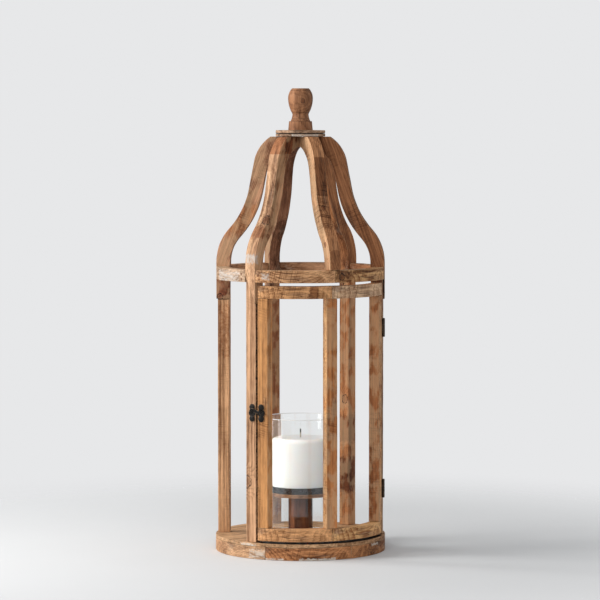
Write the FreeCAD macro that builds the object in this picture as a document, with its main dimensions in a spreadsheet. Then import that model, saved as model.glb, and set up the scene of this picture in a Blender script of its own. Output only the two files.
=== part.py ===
import FreeCAD, Part
import math
import os
import re
import Sketcher

# A standing candle lantern of reclaimed wood: a round base, five square posts, a ring with six
# curved ribs under a turned finial, a curved door of three stiles, and inside it a glass sleeve
# round a candle on a turned pedestal.
#
# Frame: millimetres, +Z up, origin at the middle of the base's underside. The door faces -Y.
# A heading is the angle round the lantern in degrees, 0 at the front and +90 at +X. Each piece
# of the ring is drawn with its own heading along X, outwards, and is then turned to its place.

SIZES = {
    # Round base: six sawn segments under a thin round board.
    "base_radius": 147.5,
    "base_ring_height": 22,
    "base_ring_width": 32,
    "base_joint_angle": 12,
    "board_thickness": 6,
    # Square stock of the posts, and the scarf that joins each rib's foot to its post.
    "stock": 20.8,
    "post_setback": 4,
    "post_depth": 20.5,
    "scarf_drop": 36,
    "scarf_rise": 46,
    # Ring round the lantern's shoulder.
    "ring_level": 471,
    "ring_height": 21.5,
    "ring_overhang": 2.5,
    "ring_width": 20.5,
    # Ribs: an outline of tangent arcs from the hip over the ring, in at the waist, to the cap.
    "rib_width": 24,
    "hip_rise": 6.8,
    "hip_radius": 87.3,
    "hip_slope": 42,
    "waist_radius": 144.7,
    "waist_slope": 10.9,
    "waist_run": 48.2,
    "shoulder_radius": 65.3,
    "shoulder_crown": 54.7,
    "armpit_radius": 55,
    "rib_end_radius": 19.4,
    "rib_end_height": 17.5,
    # Cap of two round layers.
    "cap_radius": 43,
    "cap_layer": 5.5,
    "cap_edge": 0.9,
    # Turned finial: a drum with a ledge on its top, a hollow neck and a ball with a flat crown.
    "finial_radius": 21.2,
    "finial_draft": 1.3,
    "finial_drum": 15.5,
    "finial_edge": 1.3,
    "finial_ledge": 1.6,
    "finial_cove": 34,
    "neck_radius": 13.9,
    "neck_level": 27.5,
    "collar_rise": 2.6,
    "ball_radius": 21.4,
    "ball_level": 55,
    "ball_flank": 52,
    "ball_crown": 24.4,
    "crown_height": 17,
    # Curved door of three stiles and two rails, each rail in two halves.
    "door_gap": 3,
    "door_floor_gap": 3.5,
    "door_ring_gap": 5.2,
    "door_depth": 19,
    "stile_width": 19.5,
    "stile_inset": 0.4,
    "rail_height": 21.6,
    # Butt hinges.
    "hinge_inset": 56,
    "hinge_height": 30,
    "hinge_stand": 2,
    "leaf_reach": 15,
    "leaf_thickness": 0.9,
    "knuckle_radius": 2.3,
    "knuckle_gap": 0.3,
    "pin_radius": 1.2,
    "pin_head": 2,
    "pin_cap": 1.2,
    # Latch: two scalloped plates, a hook on the door's one and a stud on the post's one.
    "latch_level": 249.5,
    "plate_thickness": 1,
    "lobe_radius": 5.6,
    "lobe_spread": 9.7,
    "middle_lobe": 7,
    "latch_plate_inset": 0.4,
    "catch_plate_inset": 0.4,
    "pivot_inset": 6.2,
    "pivot_rise": 1.2,
    "stud_inset": 5.2,
    "stud_rise": 3.2,
    "stud_radius": 1.3,
    "stud_lap": 0.8,
    "hook_lift": 1,
    "hook_thickness": 1.3,
    "hook_rest": 0.3,
    "hook_notch": 2.9,
    "hook_bow": 6.4,
    "hook_prong": 3.2,
    "hook_boss": 3.6,
    "tab_reach": 6.4,
    "tab_radius": 2.2,
    "tab_height": 2.4,
    "rivet_radius": 1.2,
    "rivet_head": 2.4,
    "rivet_dome": 1,
    "rivet_play": 0.06,
    # Turned pedestal, dish, candle and glass.
    "pedestal_radius": 21,
    "flange_level": 94,
    "flange_thickness": 6.2,
    "dish_radius": 52,
    "dish_height": 11,
    "dish_wall": 1.5,
    "candle_play": 1.2,
    "candle_height": 93,
    "candle_shoulder": 7,
    "wick_radius": 1.2,
    "wick_depth": 5,
    "wick_height": 15,
    "glass_play": 9,
    "glass_edge": 0.7,
    "glass_wall": 3,
    "glass_height": 203,
    # Fasteners and the play round them.
    "fit_play": 0.05,
    "screw_radius": 2,
    "screw_head": 4,
    "screw_sink": 3,
    "post_screw_recess": 1,
    "post_screw_length": 45,
    "pedestal_screw_length": 30,
    "dish_screw_length": 25,
    "rib_screw_length": 20,
    "rib_screw_setback": 11,
    "finial_screw_radius": 3,
    "finial_screw_length": 36,
    "nail_radius": 1.1,
    "nail_length": 45,
    "nail_side_step": 4.5,
    "leaf_screw_radius": 0.8,
    "leaf_screw_head": 1.6,
    "leaf_screw_cap": 0.4,
    "leaf_screw_length": 11,
    "leaf_screw_back": 8.5,
    "post_leaf_screw_step": 10,
    "door_leaf_screw_step": 7.5,
    "tack_radius": 0.8,
    "tack_head": 1.7,
    "tack_dome": 0.5,
    "tack_length": 8,
}

# Sizes worked out from the ones above. Each formula uses names from either list.
WORKED = {
    "board_top": "base_ring_height + board_thickness",
    "base_bore": "base_radius - base_ring_width",
    "half_stock": "stock / 2",
    "post_face": "base_radius - post_setback",
    "post_back": "post_face - post_depth",
    "post_middle": "post_face - post_depth / 2",
    "scarf_low": "ring_level - scarf_drop",
    "scarf_high": "scarf_low + scarf_rise",
    "ring_top": "ring_level + ring_height",
    "ring_radius": "post_face + ring_overhang",
    "ring_bore": "ring_radius - ring_width",
    "rib_back": "ring_radius - rib_width",
    "hip_level": "ring_top + hip_rise",
    "hip_centre": "ring_radius - hip_radius",
    "hip_side": "(hip_radius + waist_radius) * cos(hip_slope * 1 deg)",
    "hip_step": "(hip_radius + waist_radius) * sin(hip_slope * 1 deg)",
    "waist_centre": "hip_centre + hip_side",
    "waist_height": "hip_level + hip_step",
    "shoulder_centre": "waist_centre - (waist_radius + shoulder_radius) * cos(waist_slope * 1 deg)"
                       " - waist_run * sin(waist_slope * 1 deg)",
    "shoulder_height": "waist_height - (waist_radius + shoulder_radius) * sin(waist_slope * 1 deg)"
                       " + waist_run * cos(waist_slope * 1 deg)",
    "cap_level": "shoulder_height + shoulder_crown",
    "cap_seam": "cap_level + cap_layer",
    "cap_top": "cap_seam + cap_layer",
    "rib_tip": "cap_level - rib_end_height",
    "rib_screw_circle": "rib_end_radius + rib_screw_setback",
    "drum_level": "cap_top + finial_drum",
    "drum_radius": "finial_radius - finial_draft",
    "cove_foot": "drum_radius - finial_edge - finial_ledge",
    "neck_height": "cap_top + neck_level",
    "collar_level": "neck_height + collar_rise",
    "ball_height": "cap_top + ball_level",
    "collar_radius": "ball_radius - ball_flank"
                     " + sqrt(ball_flank ^ 2 - (ball_height - collar_level) ^ 2)",
    "crown_flat": "ball_radius - ball_crown + sqrt(ball_crown ^ 2 - crown_height ^ 2)",
    "finial_top": "ball_height + crown_height",
    "door_bottom": "board_top + door_floor_gap",
    "door_top": "ring_level - door_ring_gap",
    "door_radius": "post_face",
    "door_bore": "door_radius - door_depth",
    "door_side": "half_stock + door_gap",
    "stile_foot": "door_bottom + rail_height",
    "stile_head": "door_top - rail_height",
    "stile_face": "door_radius - stile_inset",
    "stile_middle": "door_radius - door_depth / 2",
    "half_stile": "stile_width / 2",
    "stile_turn": "asin(door_side / sqrt(stile_face ^ 2 + half_stile ^ 2))"
                  " + atan(half_stile / stile_face)",
    "stile_bevel": "half_stile - (stile_face - door_bore) * tan(stile_turn)",
    "hinge_low": "stile_foot + hinge_inset",
    "hinge_high": "stile_head - hinge_inset",
    "hinge_axis": "post_face + hinge_stand",
    "hinge_side": "half_stock + door_gap / 2",
    "barrel_clear": "knuckle_radius + knuckle_gap",
    "knuckle_length": "hinge_height / 3",
    "leaf_screw_line": "hinge_axis - leaf_screw_back",
    "cusp_rise": "(lobe_spread ^ 2 + middle_lobe ^ 2 - lobe_radius ^ 2) / (2 * lobe_spread)",
    "cusp_side": "sqrt(middle_lobe ^ 2 - cusp_rise ^ 2)",
    "latch_plate_middle": "latch_plate_inset + middle_lobe - half_stile",
    "catch_plate_middle": "half_stock - catch_plate_inset - middle_lobe",
    "pivot_side": "pivot_inset - half_stile",
    "pivot_level": "latch_level + pivot_rise",
    "stud_side": "half_stock - stud_inset",
    "stud_level": "latch_level + stud_rise",
    "plate_front": "stile_face + plate_thickness",
    "hook_back": "plate_front + hook_lift",
    "hook_front": "hook_back + hook_thickness",
    "stud_across": "sqrt(post_face ^ 2 + stud_side ^ 2) * sin(stile_turn - atan(stud_side / post_face))",
    "stud_depth": "sqrt(post_face ^ 2 + stud_side ^ 2) * cos(stile_turn - atan(stud_side / post_face))",
    "stud_height": "(hook_back + stud_lap - stud_depth) / cos(stile_turn)",
    "notch_side": "0 - stud_across",
    "notch_level": "stud_level + stud_radius + hook_rest - hook_notch",
    "bow_side": "notch_side + hook_bow * cos(45 deg)",
    "bow_level": "notch_level + hook_bow * sin(45 deg)",
    "boss_left": "pivot_side - hook_boss * cos(45 deg)",
    "boss_right": "pivot_side + hook_boss * cos(60 deg)",
    "boss_low": "pivot_level - hook_boss * sin(45 deg)",
    "boss_left_top": "pivot_level + hook_boss * sin(45 deg)",
    "boss_right_top": "pivot_level + hook_boss * sin(60 deg)",
    "tab_side": "pivot_side + tab_reach",
    "tab_level": "pivot_level - tab_radius / 2",
    "dish_level": "flange_level + flange_thickness",
    "dish_floor": "dish_level + dish_wall",
    "dish_bore": "dish_radius - dish_wall",
    "candle_radius": "dish_bore - candle_play",
    "candle_top": "dish_floor + candle_height",
    "glass_bore": "dish_radius + glass_play",
    "glass_radius": "glass_bore + glass_wall",
    "glass_top": "board_top + glass_height",
}

# Headings. Two of the back posts stand a little off their even places, and so does the door's
# middle stile. The joints of the base ring are even.
FRONT = 0
MIDDLE_STILE = -2
HINGE_POST = 60
BACK_RIGHT_POST = 117.3
BACK_POST = 178
BACK_LEFT_POST = -120
LATCH_POST = -60
STEP = 60
POST_HEADINGS = {
    "post_hinge": HINGE_POST,
    "post_back_right": BACK_RIGHT_POST,
    "post_back": BACK_POST,
    "post_back_left": BACK_LEFT_POST,
    "post_latch": LATCH_POST,
}
RIB_HEADINGS = {
    "rib_front": FRONT,
    "rib_hinge": HINGE_POST,
    "rib_back_right": BACK_RIGHT_POST,
    "rib_back": BACK_POST,
    "rib_back_left": BACK_LEFT_POST,
    "rib_latch": LATCH_POST,
}
RING_ENDS = {
    "ring_front_right": (FRONT, HINGE_POST),
    "ring_right": (HINGE_POST, BACK_RIGHT_POST),
    "ring_back_right": (BACK_RIGHT_POST, BACK_POST),
    "ring_back_left": (BACK_POST, BACK_LEFT_POST),
    "ring_left": (BACK_LEFT_POST, LATCH_POST),
    "ring_front_left": (LATCH_POST, FRONT),
}

document = FreeCAD.newDocument("candle_lantern")


def make_sheet(name, cells):
    """Spreadsheet with one named cell a row."""
    sheet = document.addObject("Spreadsheet::Sheet", name)
    for row, (alias, text) in enumerate(cells.items(), start=1):
        sheet.set(f"A{row}", alias)
        sheet.set(f"B{row}", str(text))
        sheet.setAlias(f"B{row}", alias)
    return sheet


def bound(text, home=None):
    """Expression with the sheet's name put before each size."""
    def qualify(match):
        word = match.group(0)
        if word in SIZES:
            return f"Sizes.{word}"
        if word in WORKED and home != "Worked":
            return f"Worked.{word}"
        return word
    return re.sub(r"[a-z][a-z_]*", qualify, text)


sizes = make_sheet("Sizes", SIZES)
worked = make_sheet("Worked", {alias: "=" + bound(text, "Worked") for alias, text in WORKED.items()})
document.recompute()


def size(alias):
    """Number in a named cell."""
    cell = (sizes if alias in SIZES else worked).get(alias)
    return float(getattr(cell, "Value", cell))


def value(text):
    """Number that a sum of products of sizes comes to, such as "post_face - stock / 2"."""
    total = 0.0
    term = 0.0
    action = "+"
    for token in text.replace(" deg", "").split():
        if token in "+-*/":
            action = token
            continue
        factor = size(token) if token in SIZES or token in WORKED else float(token)
        if action == "*":
            term *= factor
        elif action == "/":
            term /= factor
        else:
            total += term
            term = -factor if action == "-" else factor
    return total + term


def new_body(label, heading=FRONT):
    """Empty body whose X axis points out at the heading."""
    body = document.addObject("PartDesign::Body", label)
    body.Label = label
    turn = (heading - 90) % 360
    body.Placement = FreeCAD.Placement(FreeCAD.Vector(), FreeCAD.Rotation(FreeCAD.Vector(0, 0, 1), turn))
    return body


def sketch_on(body, role, offset="0"):
    """Sketch on one of the body's own planes, moved along the plane's normal."""
    sketch = body.newObject("Sketcher::SketchObject", body.Label + "_sketch")
    plane = next(item for item in body.Origin.OriginFeatures if item.Role == role)
    sketch.AttachmentSupport = [(plane, "")]
    sketch.MapMode = "FlatFace"
    sketch.setExpression("AttachmentOffset.Base.z", bound(offset))
    document.recompute([sketch])
    return sketch


def drive(sketch, kind, where, text, unit=""):
    """Constraint whose value follows the sheet."""
    start = value(text)
    if unit == "deg":
        start = math.radians(start)
    index = sketch.addConstraint(Sketcher.Constraint(kind, *where, start))
    expression = f"({bound(text)}) * 1 {unit}" if unit else bound(text)
    sketch.setExpression(f"Constraints[{index}]", expression)


def place_point(sketch, edge, end, across, along):
    """Fix a point of the sketch at two sizes from the origin."""
    if across == "0":
        sketch.addConstraint(Sketcher.Constraint("PointOnObject", edge, end, -2))
    else:
        drive(sketch, "DistanceX", (-1, 1, edge, end), across)
    if along == "0":
        sketch.addConstraint(Sketcher.Constraint("PointOnObject", edge, end, -1))
    else:
        drive(sketch, "DistanceY", (-1, 1, edge, end), along)


def arc_between(first, last, radius, turn):
    """Arc from first to last: turn is 1 or 2 for a short or long one to the left, negative to the right."""
    chord = last - first
    half = chord.Length / 2
    rise = math.sqrt(max(radius ** 2 - half ** 2, 0.0))
    left = FreeCAD.Vector(-chord.y, chord.x, 0).normalize()
    side = 1 if turn in (1, -2) else -1
    centre = (first + last) * 0.5 + left * (rise * side)
    start, end = (first, last) if turn > 0 else (last, first)
    low = math.atan2(start.y - centre.y, start.x - centre.x)
    high = math.atan2(end.y - centre.y, end.x - centre.x)
    circle = Part.Circle(centre, FreeCAD.Vector(0, 0, 1), radius)
    return Part.ArcOfCircle(circle, low, high)


def outline(sketch, corners, arcs=None):
    """Closed outline through corners. An arc replaces the side that starts at its corner.

    An arc is given as its radius and turn. Half a circle has its radius from its ends, so it also
    gives the distance that places its centre between them.
    """
    arcs = arcs or {}
    points = [FreeCAD.Vector(value(across), value(along), 0) for across, along in corners]
    ends = []
    for index, first in enumerate(points):
        last = points[(index + 1) % len(points)]
        if index in arcs:
            radius, turn = arcs[index][:2]
            edge = sketch.addGeometry(arc_between(first, last, value(radius), turn))
            ends.append((edge, 1, 2) if turn > 0 else (edge, 2, 1))
        else:
            edge = sketch.addGeometry(Part.LineSegment(first, last))
            ends.append((edge, 1, 2))
    for index, (edge, start, end) in enumerate(ends):
        following, following_start, _ = ends[(index + 1) % len(ends)]
        sketch.addConstraint(Sketcher.Constraint("Coincident", edge, end, following, following_start))
    for (edge, start, _), (across, along) in zip(ends, corners):
        place_point(sketch, edge, start, across, along)
    for index, (radius, _, *centre) in arcs.items():
        edge = ends[index][0]
        if centre:
            kind, text = centre
            drive(sketch, kind, (-1, 1, edge, 3), text)
        else:
            drive(sketch, "Radius", (edge,), radius)


def circle(sketch, across, along, radius):
    """Circle in the sketch."""
    centre = FreeCAD.Vector(value(across), value(along), 0)
    edge = sketch.addGeometry(Part.Circle(centre, FreeCAD.Vector(0, 0, 1), value(radius)))
    place_point(sketch, edge, 3, across, along)
    drive(sketch, "Radius", (edge,), radius)


def circle_at(sketch, reach, turn, radius):
    """Circle in the sketch at a size from the origin and a turn in degrees from its X axis."""
    angle = math.radians(value(turn))
    centre = FreeCAD.Vector(value(reach) * math.cos(angle), value(reach) * math.sin(angle), 0)
    edge = sketch.addGeometry(Part.Circle(centre, FreeCAD.Vector(0, 0, 1), value(radius)))
    for kind, function, start in (("DistanceX", "cos", centre.x), ("DistanceY", "sin", centre.y)):
        index = sketch.addConstraint(Sketcher.Constraint(kind, -1, 1, edge, 3, start))
        sketch.setExpression(f"Constraints[{index}]", f"{bound(reach)} * {function}({bound(turn)})")
    drive(sketch, "Radius", (edge,), radius)


def extrude(kind, body, sketch, length, way="One side"):
    """Pad or pocket of a sketch: one side, both sides or the other side of its plane."""
    feature = body.newObject(kind, f"{body.Label}_{kind.split('::')[1].lower()}")
    feature.Profile = sketch
    feature.SideType = "Symmetric" if way == "Symmetric" else "One side"
    feature.Reversed = way == "Reversed"
    feature.setExpression("Length", bound(length))
    sketch.Visibility = False
    document.recompute()
    return feature


def pad(body, sketch, length, way="One side"):
    """Solid as long as given from the sketch."""
    return extrude("PartDesign::Pad", body, sketch, length, way)


def pocket(body, sketch, length, way="One side"):
    """Cut as deep as given from the sketch, against its normal unless reversed."""
    return extrude("PartDesign::Pocket", body, sketch, length, way)


def turned(kind, body, sketch, axis):
    """Revolution or groove of a sketch about one of the body's axes or the sketch's own line."""
    feature = body.newObject(kind, f"{body.Label}_{kind.split('::')[1].lower()}")
    feature.Profile = sketch
    feature.ReferenceAxis = axis
    feature.Angle = 360
    sketch.Visibility = False
    document.recompute()
    return feature


def upright_axis(sketch, across):
    """Upright line of the sketch at a size from the origin, as an axis to turn about."""
    foot = FreeCAD.Vector(value(across), 0, 0)
    tip = foot + FreeCAD.Vector(0, value("screw_sink"), 0)
    line = sketch.addGeometry(Part.LineSegment(foot, tip), True)
    place_point(sketch, line, 1, across, "0")
    sketch.addConstraint(Sketcher.Constraint("Vertical", line))
    drive(sketch, "DistanceY", (line, 1, line, 2), "screw_sink")
    return (sketch, ["Axis0"])


def countersunk_hole(body, across, mouth, sink_end, end, heading=FRONT):
    """Screw hole along Z with its countersink at the mouth, at a size out from the axis.

    The heading is counted from the body's own X axis.
    """
    sketch = sketch_on(body, "XZ_Plane")
    turn = FreeCAD.Rotation(FreeCAD.Vector(0, 1, 0), heading)
    sketch.AttachmentOffset = FreeCAD.Placement(FreeCAD.Vector(), turn)
    head = f"{across} + screw_head + fit_play"
    shank = f"{across} + screw_radius + fit_play"
    outline(sketch, [(across, mouth), (head, mouth), (shank, sink_end), (shank, end), (across, end)])
    if across == "0":
        axis = (next(item for item in body.Origin.OriginFeatures if item.Role == "Z_Axis"), [""])
    else:
        axis = upright_axis(sketch, across)
    return turned("PartDesign::Groove", body, sketch, axis)


def hole_along_z(body, spots, level, radius, depth, way):
    """Round holes from a level plane, down or up."""
    sketch = sketch_on(body, "XY_Plane", level)
    for across, along in spots:
        circle(sketch, across, along, radius)
    pocket(body, sketch, depth, "One side" if way == "down" else "Reversed")


def hole_from_front(body, spots, face, radius, depth):
    """Round holes straight in from a front face."""
    sketch = sketch_on(body, "YZ_Plane", face)
    for across, along in spots:
        circle(sketch, across, along, radius)
    pocket(body, sketch, depth)


def sector(sketch, outer, inner, low, high, low_side="0", high_side="0"):
    """Part of a flat ring between two headings, each end moved in to clear a piece's side."""
    ends = []
    for angle, side, sense in ((low, low_side, 1), (high, high_side, -1)):
        ends.append([math.radians(value(angle)) + sense * math.asin(value(side) / value(reach))
                     for reach in (outer, inner)])
    origin = FreeCAD.Vector()
    up = FreeCAD.Vector(0, 0, 1)
    rims = []
    for index, reach in enumerate((outer, inner)):
        rim = Part.ArcOfCircle(Part.Circle(origin, up, value(reach)), ends[0][index], ends[1][index])
        rims.append(sketch.addGeometry(rim))
        sketch.addConstraint(Sketcher.Constraint("Coincident", rims[-1], 3, -1, 1))
        drive(sketch, "Radius", (rims[-1],), reach)
    for place, (angle, side) in enumerate(((low, low_side), (high, high_side)), start=0):
        near, far = [FreeCAD.Vector(value(reach) * math.cos(turn), value(reach) * math.sin(turn), 0)
                     for reach, turn in zip((inner, outer), reversed(ends[place]))]
        line = sketch.addGeometry(Part.LineSegment(near, far))
        sketch.addConstraint(Sketcher.Constraint("Coincident", line, 1, rims[1], place + 1))
        sketch.addConstraint(Sketcher.Constraint("Coincident", line, 2, rims[0], place + 1))
        if side == "0":
            sketch.addConstraint(Sketcher.Constraint("PointOnObject", -1, 1, line))
        else:
            drive(sketch, "Distance", (-1, 1, line), side)
        if angle == "0":
            sketch.addConstraint(Sketcher.Constraint("Horizontal", line))
        else:
            drive(sketch, "Angle", (line,), angle, "deg")


# ---------------------------------------------------------------- base

def base_segments():
    """Six even segments of the base ring, each with the hole for the post that stands on it."""
    for number, heading in enumerate((*POST_HEADINGS.values(), FRONT), start=1):
        body = new_body(f"base_segment_{number}", heading)
        sketch = sketch_on(body, "XY_Plane")
        shift = (STEP * number - heading) % 360
        sector(sketch, "base_radius", "base_bore", f"base_joint_angle - {STEP - shift:g}",
               f"base_joint_angle + {shift:g}")
        pad(body, sketch, "base_ring_height")
        if heading == FRONT:
            continue
        countersunk_hole(body, "post_middle", "post_screw_recess",
                         "post_screw_recess + screw_sink", "base_ring_height")
        hole_along_z(body, [("post_middle", "0")], "0", "screw_head + fit_play",
                     "post_screw_recess", "up")


def base_board():
    """Round board, with a hole under each post and a countersunk one under the pedestal."""
    body = new_body("base_board")
    sketch = sketch_on(body, "XY_Plane", "base_ring_height")
    circle(sketch, "0", "0", "base_radius")
    pad(body, sketch, "board_thickness")
    countersunk_hole(body, "0", "base_ring_height", "base_ring_height + screw_sink", "board_top")
    sketch = sketch_on(body, "XY_Plane", "board_top")
    for heading in POST_HEADINGS.values():
        circle_at(sketch, "post_middle", f"{heading} deg", "screw_radius + fit_play")
    pocket(body, sketch, "board_thickness")


# ---------------------------------------------------------------- upright frame

def posts():
    """Five posts, each cut to a slope at its head for the scarf, with a pilot hole in its foot."""
    for label, heading in POST_HEADINGS.items():
        body = new_body(label, heading)
        sketch = sketch_on(body, "YZ_Plane", "post_back")
        outline(sketch, [("- half_stock", "board_top"), ("half_stock", "board_top"),
                         ("half_stock", "scarf_low"), ("- half_stock", "scarf_high")])
        pad(body, sketch, "post_depth")
        hole_along_z(body, [("post_middle", "0")], "board_top", "screw_radius + fit_play",
                     "post_screw_length + post_screw_recess - board_top", "up")
        if heading == HINGE_POST:
            hinge_post_holes(body)
        if heading == LATCH_POST:
            hole_from_front(body, tack_spots("catch_plate_middle"), "post_face",
                            "tack_radius + fit_play", "tack_length - plate_thickness")


def hinge_post_holes(body):
    """Pilot holes for the hinge screws in the side of the hinge post."""
    sketch = sketch_on(body, "XZ_Plane", "half_stock")
    for spot in leaf_screw_spots("post_leaf_screw_step"):
        circle(sketch, *spot, "leaf_screw_radius + fit_play")
    pocket(body, sketch, "leaf_screw_length - leaf_thickness")


def ring_segments():
    """Six segments between the ribs. The two at the front meet under the front rib."""
    for label, (first, last) in RING_ENDS.items():
        body = new_body(label, first)
        sketch = sketch_on(body, "XY_Plane", "ring_level")
        low_side = "0" if first == FRONT else "half_stock"
        high_side = "0" if last == FRONT else "half_stock"
        span = (last - first) % 360
        sector(sketch, "ring_radius", "ring_bore", "0", f"{span:g}", low_side, high_side)
        pad(body, sketch, "ring_height")


def rib_outline(sketch, foot):
    """Ogee outline of a rib in its own plane: tangent arcs, exact offsets of one another below."""
    slope = math.radians(size("waist_slope"))
    hip = FreeCAD.Vector(size("hip_centre"), size("hip_level"), 0)
    waist = FreeCAD.Vector(size("waist_centre"), size("waist_height"), 0)
    shoulder = FreeCAD.Vector(size("shoulder_centre"), size("shoulder_height"), 0)
    outwards = FreeCAD.Vector(math.cos(slope), math.sin(slope), 0)
    uphill = FreeCAD.Vector(-math.sin(slope), math.cos(slope), 0)
    to_waist = (waist - hip).normalize()
    width = size("rib_width")

    def round_about(centre, radius, first, last):
        low = math.atan2(first.y - centre.y, first.x - centre.x)
        high = math.atan2(last.y - centre.y, last.x - centre.x)
        return Part.ArcOfCircle(Part.Circle(centre, FreeCAD.Vector(0, 0, 1), radius), low, high)

    # Outer side, from the foot up.
    foot_level = value(foot)
    outer_foot = FreeCAD.Vector(size("ring_radius"), foot_level, 0)
    outer_hip = FreeCAD.Vector(size("ring_radius"), hip.y, 0)
    outer_turn = hip + to_waist * size("hip_radius")
    outer_low = waist - outwards * size("waist_radius")
    outer_high = outer_low + uphill * size("waist_run")
    cap_level = size("cap_level")
    crown = math.sqrt(size("shoulder_radius") ** 2 - size("shoulder_crown") ** 2)
    outer_end = FreeCAD.Vector(shoulder.x + crown, cap_level, 0)
    # Inner side, from the cap down.
    end_radius = size("rib_end_radius")
    inner_top = FreeCAD.Vector(end_radius, cap_level, 0)
    inner_tip = FreeCAD.Vector(end_radius, size("rib_tip"), 0)
    armpit_radius = size("armpit_radius")
    line_foot = outer_low - outwards * width
    # The armpit's centre lies one radius inside the line, where its arc ends in the rib's tip.
    base = line_foot - outwards * armpit_radius
    gap = inner_tip - base
    along = gap.dot(uphill)
    aside = gap.dot(outwards)
    armpit = base + uphill * (along - math.sqrt(armpit_radius ** 2 - aside ** 2))
    inner_high = armpit + outwards * armpit_radius
    inner_turn = hip + to_waist * (size("hip_radius") - width)
    inner_hip = FreeCAD.Vector(size("rib_back"), hip.y, 0)
    inner_foot = FreeCAD.Vector(size("rib_back"), foot_level, 0)

    edges = [
        Part.LineSegment(outer_foot, outer_hip),
        round_about(hip, size("hip_radius"), outer_hip, outer_turn),
        round_about(waist, size("waist_radius"), outer_low, outer_turn),
        Part.LineSegment(outer_low, outer_high),
        round_about(shoulder, size("shoulder_radius"), outer_high, outer_end),
        Part.LineSegment(outer_end, inner_top),
        Part.LineSegment(inner_top, inner_tip),
        round_about(armpit, armpit_radius, inner_high, inner_tip),
        Part.LineSegment(inner_high, line_foot),
        round_about(waist, size("waist_radius") + width, line_foot, inner_turn),
        round_about(hip, size("hip_radius") - width, inner_hip, inner_turn),
        Part.LineSegment(inner_hip, inner_foot),
        Part.LineSegment(inner_foot, outer_foot),
    ]
    sketch.addGeometry(edges)
    smooth = "Tangent"
    sharp = "Coincident"
    joints = [(smooth, 0, 2, 1, 1), (smooth, 1, 2, 2, 2), (smooth, 2, 1, 3, 1), (smooth, 3, 2, 4, 1),
              (sharp, 4, 2, 5, 1), (sharp, 5, 2, 6, 1), (sharp, 6, 2, 7, 2), (smooth, 7, 1, 8, 1),
              (smooth, 8, 2, 9, 1), (smooth, 9, 2, 10, 2), (smooth, 10, 1, 11, 1),
              (sharp, 11, 2, 12, 1), (sharp, 12, 2, 0, 1)]
    for kind, *where in joints:
        sketch.addConstraint(Sketcher.Constraint(kind, *where))
    for edge in (0, 6, 11):
        sketch.addConstraint(Sketcher.Constraint("Vertical", edge))
    for edge in (5, 12):
        sketch.addConstraint(Sketcher.Constraint("Horizontal", edge))
    sketch.addConstraint(Sketcher.Constraint("Coincident", 9, 3, 2, 3))
    sketch.addConstraint(Sketcher.Constraint("Coincident", 10, 3, 1, 3))
    drive(sketch, "DistanceX", (-1, 1, 0, 1), "ring_radius")
    drive(sketch, "DistanceY", (-1, 1, 0, 1), foot)
    drive(sketch, "DistanceY", (-1, 1, 1, 3), "hip_level")
    drive(sketch, "Radius", (1,), "hip_radius")
    drive(sketch, "Radius", (2,), "waist_radius")
    drive(sketch, "DistanceY", (1, 3, 2, 3), "hip_step")
    drive(sketch, "Angle", (3,), "90 + waist_slope", "deg")
    drive(sketch, "Distance", (3,), "waist_run")
    drive(sketch, "Radius", (4,), "shoulder_radius")
    drive(sketch, "DistanceY", (-1, 1, 5, 1), "cap_level")
    drive(sketch, "DistanceX", (-1, 1, 6, 1), "rib_end_radius")
    drive(sketch, "DistanceY", (-1, 1, 6, 2), "rib_tip")
    drive(sketch, "Radius", (7,), "armpit_radius")
    drive(sketch, "DistanceX", (-1, 1, 11, 2), "rib_back")


def ribs():
    """Six ribs. Five run down between the ring's segments and end in a scarf, one stands on it."""
    for label, heading in RIB_HEADINGS.items():
        body = new_body(label, heading)
        sketch = sketch_on(body, "XZ_Plane")
        foot = "ring_top" if heading == FRONT else "scarf_low"
        rib_outline(sketch, foot)
        pad(body, sketch, "stock", "Symmetric")
        if heading != FRONT:
            sketch = sketch_on(body, "YZ_Plane", "ring_radius")
            outline(sketch, [("half_stock", "scarf_low"), ("- half_stock", "scarf_high"),
                             ("- half_stock - rib_width", "scarf_high"),
                             ("- half_stock - rib_width", "scarf_low - rib_width"),
                             ("half_stock", "scarf_low - rib_width")])
            pocket(body, sketch, "rib_width")
        hole_along_z(body, [("rib_screw_circle", "0")], "cap_level", "screw_radius + fit_play",
                     "rib_screw_length - cap_layer", "down")


# ---------------------------------------------------------------- cap and finial

def cap():
    """Two round layers with eased edges, so that a groove runs round between them."""
    for label, low in (("cap_disc_lower", "cap_level"), ("cap_disc_upper", "cap_seam")):
        body = new_body(label)
        sketch = sketch_on(body, "XZ_Plane")
        top = f"{low} + cap_layer"
        outline(sketch, [("finial_screw_radius + fit_play", low), ("cap_radius - cap_edge", low),
                         ("cap_radius", f"{low} + cap_edge"), ("cap_radius", f"{top} - cap_edge"),
                         ("cap_radius - cap_edge", top), ("finial_screw_radius + fit_play", top)])
        turn = next(item for item in body.Origin.OriginFeatures if item.Role == "Z_Axis")
        turned("PartDesign::Revolution", body, sketch, (turn, [""]))
        if label == "cap_disc_lower":
            for heading in RIB_HEADINGS.values():
                countersunk_hole(body, "rib_screw_circle", "cap_seam", "cap_seam - screw_sink",
                                 "cap_level", heading)


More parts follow.
